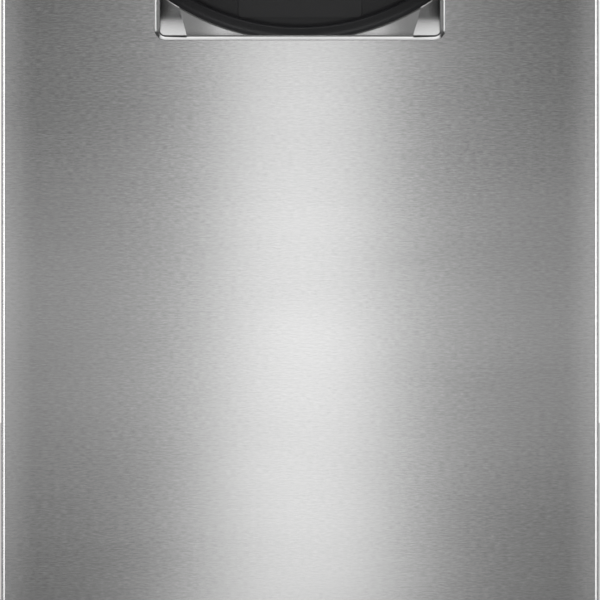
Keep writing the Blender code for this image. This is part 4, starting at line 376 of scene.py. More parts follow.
# %% [markdown]
# ## Enamel, plastics, rubber and felt
# The wrapper and the bin are mild steel sheet with a baked enamel, which flows out to a slight orange peel.
# The handle's cup and the console's body are injection-moulded ABS with a fine spark-eroded grain, and the
# control inlay is polished acrylic. Rollers are natural nylon, the wiper is nitrile rubber with a bloom,
# and the pad behind the drawer's front is needled felt. A spark-eroded grain is about a tenth of a
# millimetre across and is drawn 0.55 mm across, and the smaller marks of the others are drawn coarser than
# they are too, as fine as shows. Each is one noise at its own size, used twice: as a shallow bump, and as a
# slight change of tone and gloss, since a perfectly even surface looks unreal.

# %% Enamel, plastics, rubber, felt
PEEL = (2.2 * MM, 2.2 * MM, 2.2 * MM)
SHADE = (50 * MM, 50 * MM, 50 * MM)  # how the tone of a baked coat drifts


def enamelled(name, dark, light, roughness):
    """Baked enamel on sheet steel, with the slight orange peel it flows out to."""
    material, tree, shader = finish(name, light, 0.0, roughness, coat_weight=0.25, coat_roughness=0.2)
    shade = spread(tree, grain(tree, SHADE, 3.0).outputs["Fac"], 0, 1)
    tint(tree, shader, dark, light, shade)
    tree.links.new(spread(tree, shade, roughness * 0.9, roughness * 1.12, 0, 1), shader.inputs["Roughness"])
    relief(tree, shader, grain(tree, PEEL, 1.0).outputs["Fac"], 0.05 * MM, 0.6)
    return material


def moulded(name, dark, light, roughness, pit=0.55 * MM, depth=0.03 * MM, **constants):
    """A moulded plastic whose tool was spark-eroded to a fine pitted grain."""
    material, tree, shader = finish(name, light, 0.0, roughness, **constants)
    pits = grain(tree, (pit, pit, pit), 2.0).outputs["Fac"]
    tint(tree, shader, dark, light, spread(tree, pits, 0, 1))
    tree.links.new(spread(tree, pits, roughness * 0.92, roughness * 1.1), shader.inputs["Roughness"])
    relief(tree, shader, pits, depth, 0.7)
    return material


ENAMEL = enamelled("enamel_charcoal_baked", "#37393b", "#3e4042", 0.42)
BIN_ENAMEL = enamelled("enamel_grey_baked", "#4a4d50", "#54575a", 0.46)
ABS = moulded("abs_black_grained", "#19191b", "#202022", 0.46)
CUP_ABS = moulded("abs_black_cup", "#29292b", "#313133", 0.33)
ACRYLIC = moulded("acrylic_black_polished", "#0d0d0f", "#111113", 0.1, 3 * MM, 0.004 * MM, ior=1.49)
NYLON = moulded("nylon_natural", "#d9d6cb", "#e4e1d7", 0.42, 1.2 * MM, 0.02 * MM, subsurface_weight=0.1)
RUBBER = moulded("rubber_nitrile", "#1c1c1c", "#272727", 0.72, 0.8 * MM, 0.05 * MM)
AMBER = moulded("lens_amber", "#d5821a", "#e8942a", 0.16, 1 * MM, 0.01 * MM, ior=1.58)
CARBON = moulded("carbon_media", "#161616", "#2c2c2c", 0.85, 1.6 * MM, 0.5 * MM)
FELT = moulded("felt_needled", "#4c4d50", "#65666a", 0.95, 0.9 * MM, 0.3 * MM, sheen_weight=0.3)
INK = moulded("ink_white_printed", "#dcdcda", "#e6e6e4", 0.55, 0.4 * MM, 0.005 * MM)
print("materials:", len(bpy.data.materials))

# %% [markdown]
# ## Edges
# No sheet or moulding has a knife edge: a press, a trim or a mould leaves a small round on it, and that
# round is what catches the light. So each solid is copied with its split corners joined and its flat areas
# merged, and a narrow bevel runs along its sharp edges. Round things are shaded smooth. The copy rides on
# the body that its solid belongs to, stands for the solid, and wears its slot. The rounds could be modelled
# into the solids, but a modifier keeps their width in one place.

# %% Slots and bodies
slots = {
    "brushed_stainless": BRUSHED,
    "satin_stainless": SATIN,
    "black_moulding": ABS,
    "black_gloss": ACRYLIC,
    "painted_steel": ENAMEL,
    "galvanised_steel": GALVANISED,
    "zinc_plated_steel": ZINC,
    "machined_steel": MACHINED,
    "bronze": BRONZE,
    "nylon": NYLON,
    "rubber": RUBBER,
    "felt": FELT,
    "amber_lens": AMBER,
    "filter_media": CARBON,
}
bodies = frame["record"]["behaviour"]["bodies"]
body_of = {node: body for body, members in bodies.items() for node in members}


def slot_of(node):
    """The record's material slot that a solid wears."""
    return nodes[node].data.materials[0].name


print("slots:", len(slots), "bodies:", len(bodies))

# %% Copy a solid with soft edges
WELD = 0.02 * MM


def joined_solid(node):
    """A bmesh of a solid, its split corners joined and its flat areas merged."""
    source = nodes[node].data
    bare = bpy.data.meshes.new("bare")
    bare.from_pydata([v.co[:] for v in source.vertices], [], [p.vertices[:] for p in source.polygons])
    work = bmesh.new()
    work.from_mesh(bare)
    bpy.data.meshes.remove(bare)
    bmesh.ops.remove_doubles(work, verts=work.verts, dist=WELD)
    bmesh.ops.dissolve_limit(
        work, angle_limit=math.radians(0.5), verts=work.verts, edges=work.edges, delimit={"NORMAL"}
    )
    return work


def soften(made, width, segments=2, angle=35):
    """A narrow round on the sharp edges."""
    bevel = made.modifiers.new("soft_edges", "BEVEL")
    bevel.width = width
    bevel.segments = segments
    bevel.limit_method = "ANGLE"
    bevel.angle_limit = math.radians(angle)
    weigh = made.modifiers.new("flat_faces", "WEIGHTED_NORMAL")
    weigh.keep_sharp = True
    weigh.weight = 100
    return made


def settle(made, node):
    """The piece rides where that solid does and stands for it."""
    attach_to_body(made, body_of[node])
    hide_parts(node)
    return made


def dress(node, width=0.25 * MM):
    """A soft-edged copy of a solid, settled in its place."""
    made = mesh_object(node + "_dressed", joined_solid(node), slots[slot_of(node)])
    return settle(soften(made, width), node)


print("joined within, mm:", WELD / MM)

# %% [markdown]
# ## Drawer front
# The front is one sheet, cut out for the pocket and folded back all round. The press pulls the sheet back
# by a degree or two before it folds, then leaves a narrow facet and a round of a few millimetres. On a flat
# brushed sheet these are the only places that pick up lamps from the side, so they are drawn in small
# steps. The sheet is drawn as rings: each ring is the same rounded rectangle, a little larger and further
# back than the one before. The flat face between the outer rings and the pocket is filled in one go. A
# bevel could round the fold, but it couldn't give the lean and the facet.

# %% Rings
CORNER_STEPS = 7
TURN_STEPS = 9
LEAST_CORNER = 0.01 * MM


def rounded_loop(half, low, high, radius, y):
    """A rounded rectangle that faces -Y, as points that run round it from its lower right."""
    radius = max(radius, LEAST_CORNER)
    centres = [(half - radius, low + radius, -90), (half - radius, high - radius, 0)]
    centres += [(radius - half, high - radius, 90), (radius - half, low + radius, 180)]
    points = []
    for x, z, start in centres:
        for step in range(CORNER_STEPS + 1):
            angle = math.radians(start + 90 * step / CORNER_STEPS)
            points.append((x + radius * math.cos(angle), y, z + radius * math.sin(angle)))
    return points


def add_rings(work, loops, closed=True):
    """Quads between loops of points that have the same count. Returns each loop's vertices."""
    rows = [[work.verts.new(point) for point in loop] for loop in loops]
    for near, far in zip(rows, rows[1:]):
        count = len(near)
        for i in range(count if closed else count - 1):
            j = (i + 1) % count
            work.faces.new((near[i], near[j], far[j], far[i]))
    return rows


def fill_between(work, *loops):
    """Flat faces between those loops of vertices."""
    edges = []
    for loop in loops:
        for a, b in zip(loop, loop[1:] + loop[:1]):
            edges.append(work.edges.get((a, b)) or work.edges.new((a, b)))
    bmesh.ops.triangle_fill(work, use_beauty=True, edges=edges)


def quarter(radius, steps=TURN_STEPS):
    """A quarter turn as (across, back) pairs: from level with the face to square behind it."""
    angles = [math.radians(90 * step / steps) for step in range(steps + 1)]
    return [(radius * math.sin(a), radius * (1 - math.cos(a))) for a in angles]


print("points in a ring:", len(rounded_loop(1, -1, 1, 0.1, 0)))

# %% Outlines of the front and its pocket
front_low, front_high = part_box("drawer_front")
rim_low, rim_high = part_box("handle_bezel")
LIP_DROP = 2.0 * MM  # the lower lip rolls over this much further than a plain rim would
POCKET_CORNER = 6.6 * MM


def skin_loop(inset, y, corner):
    """The front's outline, moved in from its edge."""
    return rounded_loop(front_high.x - inset, front_low.z + inset, front_high.z - inset, corner, y)


def pocket_loop(inset, y):
    """The pocket's outline, moved in from the edge of the sheet's opening."""
    low = rim_low.z - LIP_DROP + inset
    return rounded_loop(rim_high.x - inset, low, rim_high.z - inset, POCKET_CORNER - inset, y)


print("front, mm:", round(2 * front_high.x / MM), "by", round((front_high.z - front_low.z) / MM))

# %% Folded front
SHEET = 0.8 * MM
FOLD = 3.0 * MM
FACET = [(0, 0), (0.2, 0.02), (0.38, 0.08), (0.52, 0.15), (1.15, 0.48), (1.9, 0.88)]  # a lazy start, in mm
FACET_TURN = 30  # degrees turned by the facet's end; the rest is a round
FOLD_CORNER = 1.0 * MM
LEAN_RUN = 20.0 * MM  # the sheet starts to lean back this far before its fold
LEAN = math.radians(2)  # its lean where the fold begins
LEAN_STEPS = 8
LEVEL_STRIP = 1.0 * MM  # a flat strip round the wide face, so that it is shaded flat
TRIM_EDGE = 0.3 * MM


def fold_section():
    """(out, back) pairs from the wide flat face, over the lean and the facet, to the end of the round."""
    section = [(-LEAN_RUN - LEVEL_STRIP, 0)]
    for step in range(LEAN_STEPS):
        part = step / LEAN_STEPS
        section.append((-LEAN_RUN * (1 - part), LEAN_RUN * math.tan(LEAN) * part**2 / 2))
    leant = LEAN_RUN * math.tan(LEAN) / 2
    section += [(out * MM, leant + back * MM) for out, back in FACET]
    facet_out, facet_back = section[-1]
    turned = math.radians(FACET_TURN)
    radius = (FOLD - facet_out) / (1 - math.sin(turned))
    for step in range(1, TURN_STEPS + 1):
        angle = turned + (math.pi / 2 - turned) * step / TURN_STEPS
        out = FOLD - radius * (1 - math.sin(angle))
        section.append((out, facet_back + radius * (math.cos(turned) - math.cos(angle))))
    return section


work = bmesh.new()
loops = []
for out, back in fold_section():
    loops.append(skin_loop(FOLD - out, front_low.y + back, FOLD_CORNER + max(out, 0)))
loops.append(skin_loop(0, front_high.y, FOLD_CORNER + FOLD))
outer = add_rings(work, loops)
loops = [pocket_loop(out - TRIM_EDGE, front_low.y + back) for out, back in quarter(TRIM_EDGE, steps=3)]
loops.append(pocket_loop(0, front_low.y + SHEET))
inner = add_rings(work, loops)
fill_between(work, outer[0], inner[0])
skin = mesh_object("drawer_skin", work, BRUSHED, 50)
thick = skin.modifiers.new("sheet", "SOLIDIFY")
thick.thickness, thick.offset = SHEET, -1
soften(skin, 0.12 * MM, segments=1, angle=60)
settle(skin, "drawer_front")
print("drawer skin:", len(skin.data.polygons), "faces, fold, mm:", FOLD / MM)

# %% [markdown]
# ## Handle
# The pocket is lined by three pieces: a bright rim, a scoop and a cup. All three are drawn from their
# sections, because what shows is how they curve. The rim rolls the edge of the sheet inwards. Lit from
# above, its lower run shines along its whole length while its sides show only a thin line. It ends in a
# small bead, in which the scoop lies.

# %% The bright rim
RIM_SKIRT = [(0, 0.9), (0, 0.05)]  # behind the sheet's edge, in mm
ROLL = 16.5 * MM  # radius of the roll
ROLL_FROM, ROLL_TO = math.radians(30), math.radians(42)
ROLL_STEPS = 12
BEAD = [(0.1, -0.12), (0.2, -0.16), (0.3, -0.1), (0.35, 0.05), (0.35, 0.8)]  # from the roll's end, in mm

work = bmesh.new()
section = [(out * MM, back * MM) for out, back in RIM_SKIRT]
for step in range(ROLL_STEPS + 1):
    angle = ROLL_FROM + (ROLL_TO - ROLL_FROM) * step / ROLL_STEPS
    out, back = math.sin(angle) - math.sin(ROLL_FROM), math.cos(ROLL_FROM) - math.cos(angle)
    section.append((ROLL * out, ROLL * back))
end_out, end_back = section[-1]
section += [(end_out + out * MM, end_back + back * MM) for out, back in BEAD]
add_rings(work, [pocket_loop(out, front_low.y + back) for out, back in section])
rim = mesh_object("handle_rim", work, SATIN, 60)
settle(rim, "handle_bezel")
print("rim section points:", len(section))

# %% [markdown]
# ## Scoop
# The scoop is a satin pressing. Its leaning sides sweep forwards to meet the lower rim, and its flat back
# curls forwards a little to a crease with each side, and rolls away into an arched opening. It is drawn in
# upright columns of points from the pocket's floor to the arch, or to the pocket's top beside the arch, so
# every curve is a short formula of how deep a point lies. It could be sculpted, but then no curve could be
# corrected by a number.

# %% The scoop's measures
scoop_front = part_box("handle_scoop")[0].y
cup_low, cup_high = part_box("handle_cup")
LINING = end_out + 0.35 * MM  # from the edge of the sheet's opening to the scoop
SCOOP_DEPTH = 13.0 * MM
SIDE_RUN = 17.0 * MM  # how far a side reaches in at the floor
SWEEP_SLOPE = 0.64  # how steeply the side leaves the floor, depth for height
SWEEP_EASE = 11.5  # per metre: how the slope lessens upwards
CURL_FROM, SWEEP_HEIGHT = 22.0 * MM, 27.0 * MM
SIDE_STEEPEN = 0.28  # the side is this much shorter for each length up
SIDE_RUN_LEAST = 9.0 * MM
BACK_FLAT = 42.0 * MM  # half the width of the back's flat middle
BACK_CURL = 1.6  # per metre: how the back curls forwards between its flat middle and the crease
ARCH_RADIUS = 152.0 * MM
ARCH_SINK = 2.5 * MM  # its lowest part drops behind the lower lip
ARCH_LEAST = 0.05 * MM  # what is left of a column where the arch dips under the floor
ARCH_HALF = cup_high.x - 2 * MM
ARCH_ROLL = 1.0 * MM  # the last of the sheet rolls away behind the arch
ARCH_ROLL_DEPTH = 0.15 * MM

scoop_half = rim_high.x - LINING
scoop_floor = rim_low.z - LIP_DROP + LINING
scoop_top = rim_high.z - LINING
scoop_corner = POCKET_CORNER - LINING
crease_x = scoop_half - SIDE_RUN
arch_z = scoop_floor - ARCH_SINK + ARCH_RADIUS
print("scoop, mm:", round(2 * scoop_half / MM), "by", round((scoop_top - scoop_floor) / MM))


# %% The scoop's curves
def arch_height(x):
    """The arch's lower edge above that x."""
    return arch_z - math.sqrt(ARCH_RADIUS**2 - x * x)


def floor_height(x):
    """The pocket's lower edge there, rounded at its corner."""
    into = max(0, min(scoop_corner, abs(x) - (scoop_half - scoop_corner)))
    return scoop_floor + scoop_corner - math.sqrt(scoop_corner**2 - into**2)


def side_run(z):
    """How far the leaning side reaches in from the rim: it steepens upwards."""
    return max(SIDE_RUN - SIDE_STEEPEN * (z - scoop_floor), SIDE_RUN_LEAST)


def sweep_depth(rise):
    """How far back the side has swept at a height: the slope lessens slowly, then curls upright."""
    up = min(rise, SWEEP_HEIGHT)
    slope_left = SWEEP_SLOPE - SWEEP_EASE * SWEEP_HEIGHT
    curl = slope_left * max(0, up - CURL_FROM) ** 2 / (2 * (SWEEP_HEIGHT - CURL_FROM))
    return SWEEP_SLOPE * up - SWEEP_EASE * up**2 / 2 - curl


def back_depth(x):
    """A flat middle that curls forwards to the creases."""
    return SCOOP_DEPTH - BACK_CURL * max(0, abs(x) - BACK_FLAT) ** 2


crease_depth = back_depth(crease_x)


def side_depth(share, z):
    """A side that sweeps up out of the floor and leans in a little, from the rim, 0, to the crease, 1."""
    return sweep_depth(z - scoop_floor) + (crease_depth - sweep_depth(SWEEP_HEIGHT)) * share


print("crease at mm:", round(crease_x / MM, 1), "deep:", round(crease_depth / MM, 1))

# %% The scoop's columns
SCOOP_ROWS = 36
SIDE_COLUMNS = 16
RIM_COLUMNS = 6
BACK_COLUMNS = 48
ARCH_TRIES = 12  # x and the arch's height depend on each other, so they are found by turns


def scoop_column(find_x, find_depth, to_arch=True):
    """A column from the floor up to the arch, or to the pocket's top."""
    low = floor_height(find_x(scoop_floor))
    top = scoop_top
    for _ in range(ARCH_TRIES if to_arch else 0):
        top = max(arch_height(find_x(top)), low + ARCH_LEAST)
    column = [(find_x(low), scoop_front, low)]
    for row in range(SCOOP_ROWS + 1):
        z = low + (top - low) * row / SCOOP_ROWS
        x = find_x(z)
        away = max(0, math.hypot(x, arch_z - z) - ARCH_RADIUS) if to_arch else ARCH_ROLL
        roll = ARCH_ROLL_DEPTH * max(0, 1 - away / ARCH_ROLL) ** 2
        column.append((x, scoop_front + find_depth(x, z) + roll, z))
    return column


def side_column(sign, share, to_arch=True):
    """A column that leans with the side, at a share of the way from the rim to the crease."""
    return scoop_column(
        lambda z: sign * (scoop_half - side_run(z) * share), lambda x, z: side_depth(share, z), to_arch
    )


def back_column(part):
    """A column of the back, from one crease, -1, to the other, 1."""
    return scoop_column(lambda z: part * (scoop_half - side_run(z)), lambda x, z: back_depth(x))


print("points in a column:", SCOOP_ROWS + 2)

# %% The scoop
split = (scoop_half - ARCH_HALF) / side_run(arch_height(ARCH_HALF))  # where the arch's end meets a side
beside_arch = [split * i / RIM_COLUMNS for i in range(RIM_COLUMNS + 1)]
under_arch = [split + (1 - split) * i / SIDE_COLUMNS for i in range(SIDE_COLUMNS + 1)]
across = [1 - 2 * i / BACK_COLUMNS for i in range(BACK_COLUMNS + 1)]
work = bmesh.new()
for sign in (1, -1):
    add_rings(work, [side_column(sign, share, to_arch=False) for share in beside_arch], closed=False)
    add_rings(work, [side_column(sign, share) for share in under_arch], closed=False)
    add_rings(work, [side_column(sign, 1), back_column(sign)], closed=False)
add_rings(work, [back_column(part) for part in across], closed=False)
bmesh.ops.remove_doubles(work, verts=work.verts, dist=WELD)
scoop = mesh_object("handle_scoop_pressing", work, SATIN, 40)
settle(scoop, "handle_scoop")
print("scoop:", len(scoop.data.polygons), "faces")

# %% [markdown]
# ## Cup
# Behind the arch is a black moulded cup, with a broad sloping lip and a hollow that reaches up past the
# pocket for the fingertips. Its rings follow the arch below, then straight sides and a flat top. On its
# back a faint raised field is left by an insert in the mould. It could be cut out of a block, but rings
# give its slope small even steps.

# %% The cup
# (inset, back) pairs over the lip, in mm: a roll, a broad slope and the turn into the hollow
CUP_SLOPE = [(-2, 0), (0, 0.1), (0.7, 0.85), (1.4, 1.55), (2.3, 2.3), (3.3, 2.95), (4.5, 3.5), (5.7, 3.9)]
CUP_SLOPE += [(6.8, 4.2), (7.7, 4.5), (8.5, 5.0), (9.0, 5.9), (9.2, 7.0)]
CUP_FLOOR_ROUND = 3.0 * MM
CUP_BACK = 2.5 * MM
CUP_TOP = 2.0 * MM
ARCH_STEPS = 64
CUP_SIDE_STEPS = 8
CUP_TOP_STEPS = 24


def cup_loop(inset, y, top):
    """The cup's outline, moved in: an arch below, straight sides and a flat top."""
    radius, half = ARCH_RADIUS - inset, ARCH_HALF - inset
    sweep = math.asin(half / radius)
    angles = [sweep * (2 * i / ARCH_STEPS - 1) for i in range(ARCH_STEPS + 1)]
    points = [(radius * math.sin(a), y, arch_z - radius * math.cos(a)) for a in angles]
    low = points[-1][2]
    rise = [low + (top - low) * i / CUP_SIDE_STEPS for i in range(1, CUP_SIDE_STEPS + 1)]
    points += [(half, y, z) for z in rise]
    points += [(half * (1 - 2 * i / CUP_TOP_STEPS), y, top) for i in range(1, CUP_TOP_STEPS)]
    return points + [(-half, y, z) for z in reversed(rise)]


work = bmesh.new()
cup_top = cup_high.z - CUP_TOP
loops = []
for inset, back in CUP_SLOPE:
    top = cup_high.z if inset < 0 else cup_top
    loops.append(cup_loop(inset * MM, cup_low.y + back * MM, top))
lip = CUP_SLOPE[-1][0] * MM
hollow_back = cup_high.y - CUP_BACK
for out, _ in quarter(CUP_FLOOR_ROUND, steps=6):
    # round from the hollow's wall to its back
    inset = lip + CUP_FLOOR_ROUND - math.sqrt(max(0, CUP_FLOOR_ROUND**2 - out**2))
    loops.append(cup_loop(inset, hollow_back - CUP_FLOOR_ROUND + out, cup_top - (inset - lip)))
rows = add_rings(work, loops)
fill_between(work, rows[-1])
cup = mesh_object("handle_cup_moulding", work, CUP_ABS, 45)
settle(cup, "handle_cup")
print("cup:", len(cup.data.polygons), "faces")

# %% The cup's raised field
FIELD_HALF = 40 * MM
FIELD_RISE = 0.3 * MM
FIELD_CORNER = 3 * MM
FIELD_LOW = cup_low.z + 15 * MM
FIELD_HIGH = FIELD_LOW + 52 * MM
work = bmesh.new()
rows = add_rings(
    work,
    [
        rounded_loop(FIELD_HALF - rise, FIELD_LOW, FIELD_HIGH, FIELD_CORNER, hollow_back - rise)
        for rise in (0, FIELD_RISE)
    ],
)
fill_between(work, rows[-1])
field = mesh_object("handle_cup_pad", work, CUP_ABS, 30)
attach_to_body(field, "drawer")
print("field, mm:", round(2 * FIELD_HALF / MM), "by", round((FIELD_HIGH - FIELD_LOW) / MM))

# %% [markdown]
# ## Turned pieces and fasteners
# Most of the small hardware is turned or headed on a machine: screws, bolts, rings, threads. One function
# spins a profile about any axis. The profile's rings can be round, hexagonal, or a cross for a driver's
# recess, so a whole screw head is one closed skin. Sheet is held with hexagon heads on a pressed washer, as
# on most white goods, because a power driver can't slip off them; plastic takes pan heads with a cross. A
# screw modifier turns a profile too, but it can't mix round rings with others.

# %% Spin a profile
RING_SIDES = 24
CROSS_WAIST = 0.35  # how wide a cross is between its arms, as a share of their reach
RIGHT, REAR, UP = Vector((1, 0, 0)), Vector((0, 1, 0)), Vector((0, 0, 1))


def ring_radius(radius, angle, shape):
    """A ring's radius at an angle: round, across a hexagon's flats, or a cross."""
    if shape == "hexagon":
        return radius / math.cos((angle % (math.pi / 3)) - math.pi / 6)
    if shape == "cross":
        return radius * (CROSS_WAIST + (1 - CROSS_WAIST) * abs(math.cos(2 * angle)) ** 3)
    return radius


def spin(work, profile, place, axis=UP, sides=RING_SIDES):
    """A closed turned form: (radius, height[, shape]) rings about an axis through a place."""
    lay = Matrix.Translation(place) @ UP.rotation_difference(Vector(axis)).to_matrix().to_4x4()
    loops = []
    for radius, height, *shape in profile:
        loop = []
        for i in range(sides):
            angle = 2 * math.pi * i / sides
            reach = ring_radius(radius, angle, shape[0] if shape else "round")
            loop.append(lay @ Vector((reach * math.cos(angle), reach * math.sin(angle), height)))
        loops.append(loop)
    rows = add_rings(work, loops)
    work.faces.new(rows[0])
    work.faces.new(rows[-1])
    return rows


print("sides of a ring:", RING_SIDES)


# %% Head a screw
def hex_screw(work, place, axis, radius):
    """A hexagon head of about that radius on its pressed washer."""
    r = radius
    head = [(1.5 * r, 0), (1.5 * r, 0.12 * r), (1.1 * r, 0.26 * r), (0.98 * r, 0.27 * r, "hexagon")]
    head += [(0.98 * r, 0.75 * r, "hexagon"), (0.88 * r, 0.86 * r), (0.5 * r, 0.86 * r), (0.4 * r, 0.72 * r)]
    spin(work, head, place, axis)


def pan_screw(work, place, axis, radius):
    """A domed head of that radius with a cross recess."""
    r = radius
    head = [(r, 0), (r, 0.2 * r), (0.93 * r, 0.45 * r), (0.78 * r, 0.6 * r), (0.62 * r, 0.66 * r, "cross")]
    head += [(0.56 * r, 0.62 * r, "cross"), (0.3 * r, 0.2 * r, "cross")]
    spin(work, head, place, axis)


print("heads:", hex_screw.__name__, pan_screw.__name__)


# %% Set out fasteners
def attach(made, body):
    """A piece that no solid stands for rides on a body."""
    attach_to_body(made, body)
    return made


def fasteners(name, kind, places, axis, radius, body):
    """Zinc-plated heads at those places, all facing one way, as one piece."""
    work = bmesh.new()
    for place in places:
        kind(work, place, axis, radius)
    print(name, len(places))
    return attach(mesh_object(name, work, ZINC, 40), body)


def middle(node):
    """The middle of a solid's box."""
    low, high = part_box(node)
    return (low + high) / 2


def inside(low, high, inset):
    """The two values a margin inside a range."""
    return low + inset, high - inset


def grid(xs, ys, z):
    """Places in rows on one level."""
    return [Vector((x, y, z)) for x in xs for y in ys]


print("top frame's middle, mm:", [round(v / MM) for v in middle("top_frame")])

# %% [markdown]
# ## Power screws
# Two steel screws pull the ram down. Each has a square-shouldered thread with two starts, cut with a
# single-point tool, so it moves its nut by two grooves for each turn. The thread is drawn on a grid that
# is sheared to follow the helix: each column of points is shifted by its share of the lead, and the last
# column joins the first one lead further up. Points that would run past an end stop there. A bump could
# fake it, but these threads show in outline when the drawer is out.

# %% Threads
FLANKS = (0.0, 0.12, 0.5, 0.62)  # shares of the pitch: up to the crest, along it, down to the groove
NEARLY_NOTHING = 0.001 * MM


def threaded(work, centre, low, high, crest, root, lead, starts, sides=20):
    """A threaded bar along Z, closed at both ends. One turn moves a nut on it by the lead."""
    pitch = lead / starts
    profile = list(zip(FLANKS, (root, crest, crest, root)))
    first, last = -starts - 1, int((high - low) / pitch) + 1
    columns = []
    for i in range(sides):
        angle = 2 * math.pi * i / sides
        column = []
        for turn in range(first, last + 1):
            for share, radius in profile:
                z = low + pitch * (turn + share) + lead * i / sides
                r = radius if low < z < high else root
                x, y = centre.x + r * math.cos(angle), centre.y + r * math.sin(angle)
                column.append(work.verts.new((x, y, min(high, max(low, z)))))
        columns.append(column)
    shift = starts * len(profile)
    for i in range(sides):
        near, far = columns[i], columns[(i + 1) % sides]
        step = shift if i == sides - 1 else 0
        for j in range(len(near) - 1 - step):
            work.faces.new((near[j], far[j + step], far[j + step + 1], near[j + 1]))
    bmesh.ops.remove_doubles(work, verts=work.verts, dist=NEARLY_NOTHING)
    bmesh.ops.dissolve_degenerate(work, edges=work.edges, dist=NEARLY_NOTHING)
    bmesh.ops.holes_fill(work, edges=[edge for edge in work.edges if edge.is_boundary])


print("crest, share of the pitch:", FLANKS[2] - FLANKS[1])

# %% Power screws
SCREW_LEAD = 10 * MM
SCREW_STARTS = 2
THREAD_DEPTH = 1.9 * MM
THREAD_GAP = 0.3 * MM  # between the thread's ends and the bearings
JOURNAL_LOW, JOURNAL_HIGH = 7.0 * MM, 6.0 * MM
END_NUT_HEIGHT = 6.0 * MM
END_NUT_FLAT = 7.4 * MM  # from the axis to a flat of the hexagon
END_NUT_FACE = 5.5 * MM
END_TAPER = 0.6 * MM
SHOULDER_IN, SHOULDER_RISE = 1.0 * MM, 0.2 * MM

for side in ("left", "right"):
    node = "power_screw_" + side
    low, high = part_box(node)
    centre = middle(node)
    crest = (high.x - low.x) / 2
    main_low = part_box("lower_bearing_" + side)[1].z + THREAD_GAP
    main_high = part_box("upper_bearing_" + side)[0].z - THREAD_GAP
    work = bmesh.new()
    threaded(work, centre, main_low, main_high, crest, crest - THREAD_DEPTH, SCREW_LEAD, SCREW_STARTS)
    foot = Vector((centre.x, centre.y, 0))
    nut_top = low.z + END_NUT_HEIGHT
    nut_edge = low.z + 0.7 * MM
    nut = [(END_NUT_FACE, low.z), (END_NUT_FLAT, nut_edge, "hexagon"), (END_NUT_FLAT, nut_top, "hexagon")]
    spin(work, nut + [(JOURNAL_LOW, nut_top)], foot)
    shoulder = (crest - SHOULDER_IN, main_low + SHOULDER_RISE)
    spin(work, [(JOURNAL_LOW, nut_top), (JOURNAL_LOW, main_low), shoulder], foot)
    journal = [(crest - SHOULDER_IN, main_high - SHOULDER_RISE), (JOURNAL_HIGH, main_high)]
    journal += [(JOURNAL_HIGH, high.z - END_TAPER), (JOURNAL_HIGH - END_TAPER, high.z)]
    spin(work, journal, foot)
    settle(mesh_object("screw_thread_" + side, work, MACHINED, 35), node)
print("thread turns:", round((main_high - main_low) / SCREW_LEAD, 1))

# %% [markdown]
# ## Roller chain
# One loop of quarter-inch roller chain ties both screws to the gear, so that the ram stays level. It is
# made link by link, as it is riveted: a roller on each pin, and plates shaped like a figure of eight, a
# pair inside and a pair outside by turns. The path is the belt line round three equal sprockets, cut into
# whole links. An array along a curve could lay out the links, but it seldom closes on a whole link.

# %% Chain path
CHAIN_PITCH = 6.35 * MM
CHAIN_LINKS = 154
SPROCKET_TEETH = 12
ARC_STEPS = 40
wheels = [middle("screw_sprocket_left"), middle("screw_sprocket_right"), middle("drive_gear")]
pitch_radius = CHAIN_PITCH / (2 * math.sin(math.pi / SPROCKET_TEETH))


def chain_path():
    """Points round the loop: an arc round each wheel, joined by straight runs."""
    points = []
    for i, wheel in enumerate(wheels):
        before, after = wheels[i - 1], wheels[(i + 1) % 3]
        start = math.atan2(before.x - wheel.x, wheel.y - before.y)
        end = math.atan2(wheel.x - after.x, after.y - wheel.y)
        end += 2 * math.pi if end < start else 0
        for k in range(ARC_STEPS + 1):
            angle = start + (end - start) * k / ARC_STEPS
            reach = pitch_radius * Vector((math.cos(angle), math.sin(angle), 0))
            points.append(Vector((wheel.x, wheel.y, 0)) + reach)
    return points


def spaced(points, count):
    """That many points along a closed line, equally far apart."""
    loop = points + points[:1]
    lengths = [(b - a).length for a, b in zip(loop, loop[1:])]
    total = sum(lengths)
    made = []
    passed, index = 0.0, 0
    for k in range(count):
        goal = total * k / count
        while passed + lengths[index] < goal:
            passed += lengths[index]
            index += 1
        made.append(loop[index].lerp(loop[index + 1], (goal - passed) / lengths[index]))
    return made


pins = spaced(chain_path(), CHAIN_LINKS)
print("links:", CHAIN_LINKS, "pitch, mm:", round((pins[1] - pins[0]).length / MM, 3))

# %% Chain links
PLATE_SHEET = 0.75 * MM
PLATE_GAP = 0.1 * MM  # between an inner plate and an outer one
PLATE_END = 2.7 * MM
PLATE_WAIST = 1.9 * MM
INNER_HALF = 1.75 * MM  # from the chain's middle to its inner plates
ROLLER_RADIUS, ROLLER_HALF = 1.65 * MM, 1.6 * MM
PIN_RADIUS, PIN_DOME = 1.0 * MM, 0.3 * MM
END_SWEEP = 150  # degrees of round at each end of a plate
END_STEPS = 6


def link_plate(work, a, b, low):
    """A figure-of-eight plate from pin to pin."""
    along = (b - a).normalized()
    across = Vector((-along.y, along.x, 0))
    outline = []
    for centre, sign in ((b, 1), (a, -1)):
        for step in range(END_STEPS + 1):
            angle = math.radians(END_SWEEP * (step / END_STEPS - 0.5))
            reach = along * math.cos(angle) + across * math.sin(angle)
            outline.append(centre + sign * PLATE_END * reach)
        outline.append((a + b) / 2 + sign * across * PLATE_WAIST)
    rows = add_rings(work, [[p + Vector((0, 0, z)) for p in outline] for z in (low, low + PLATE_SHEET)])
    work.faces.new(rows[0])
    work.faces.new(rows[1])


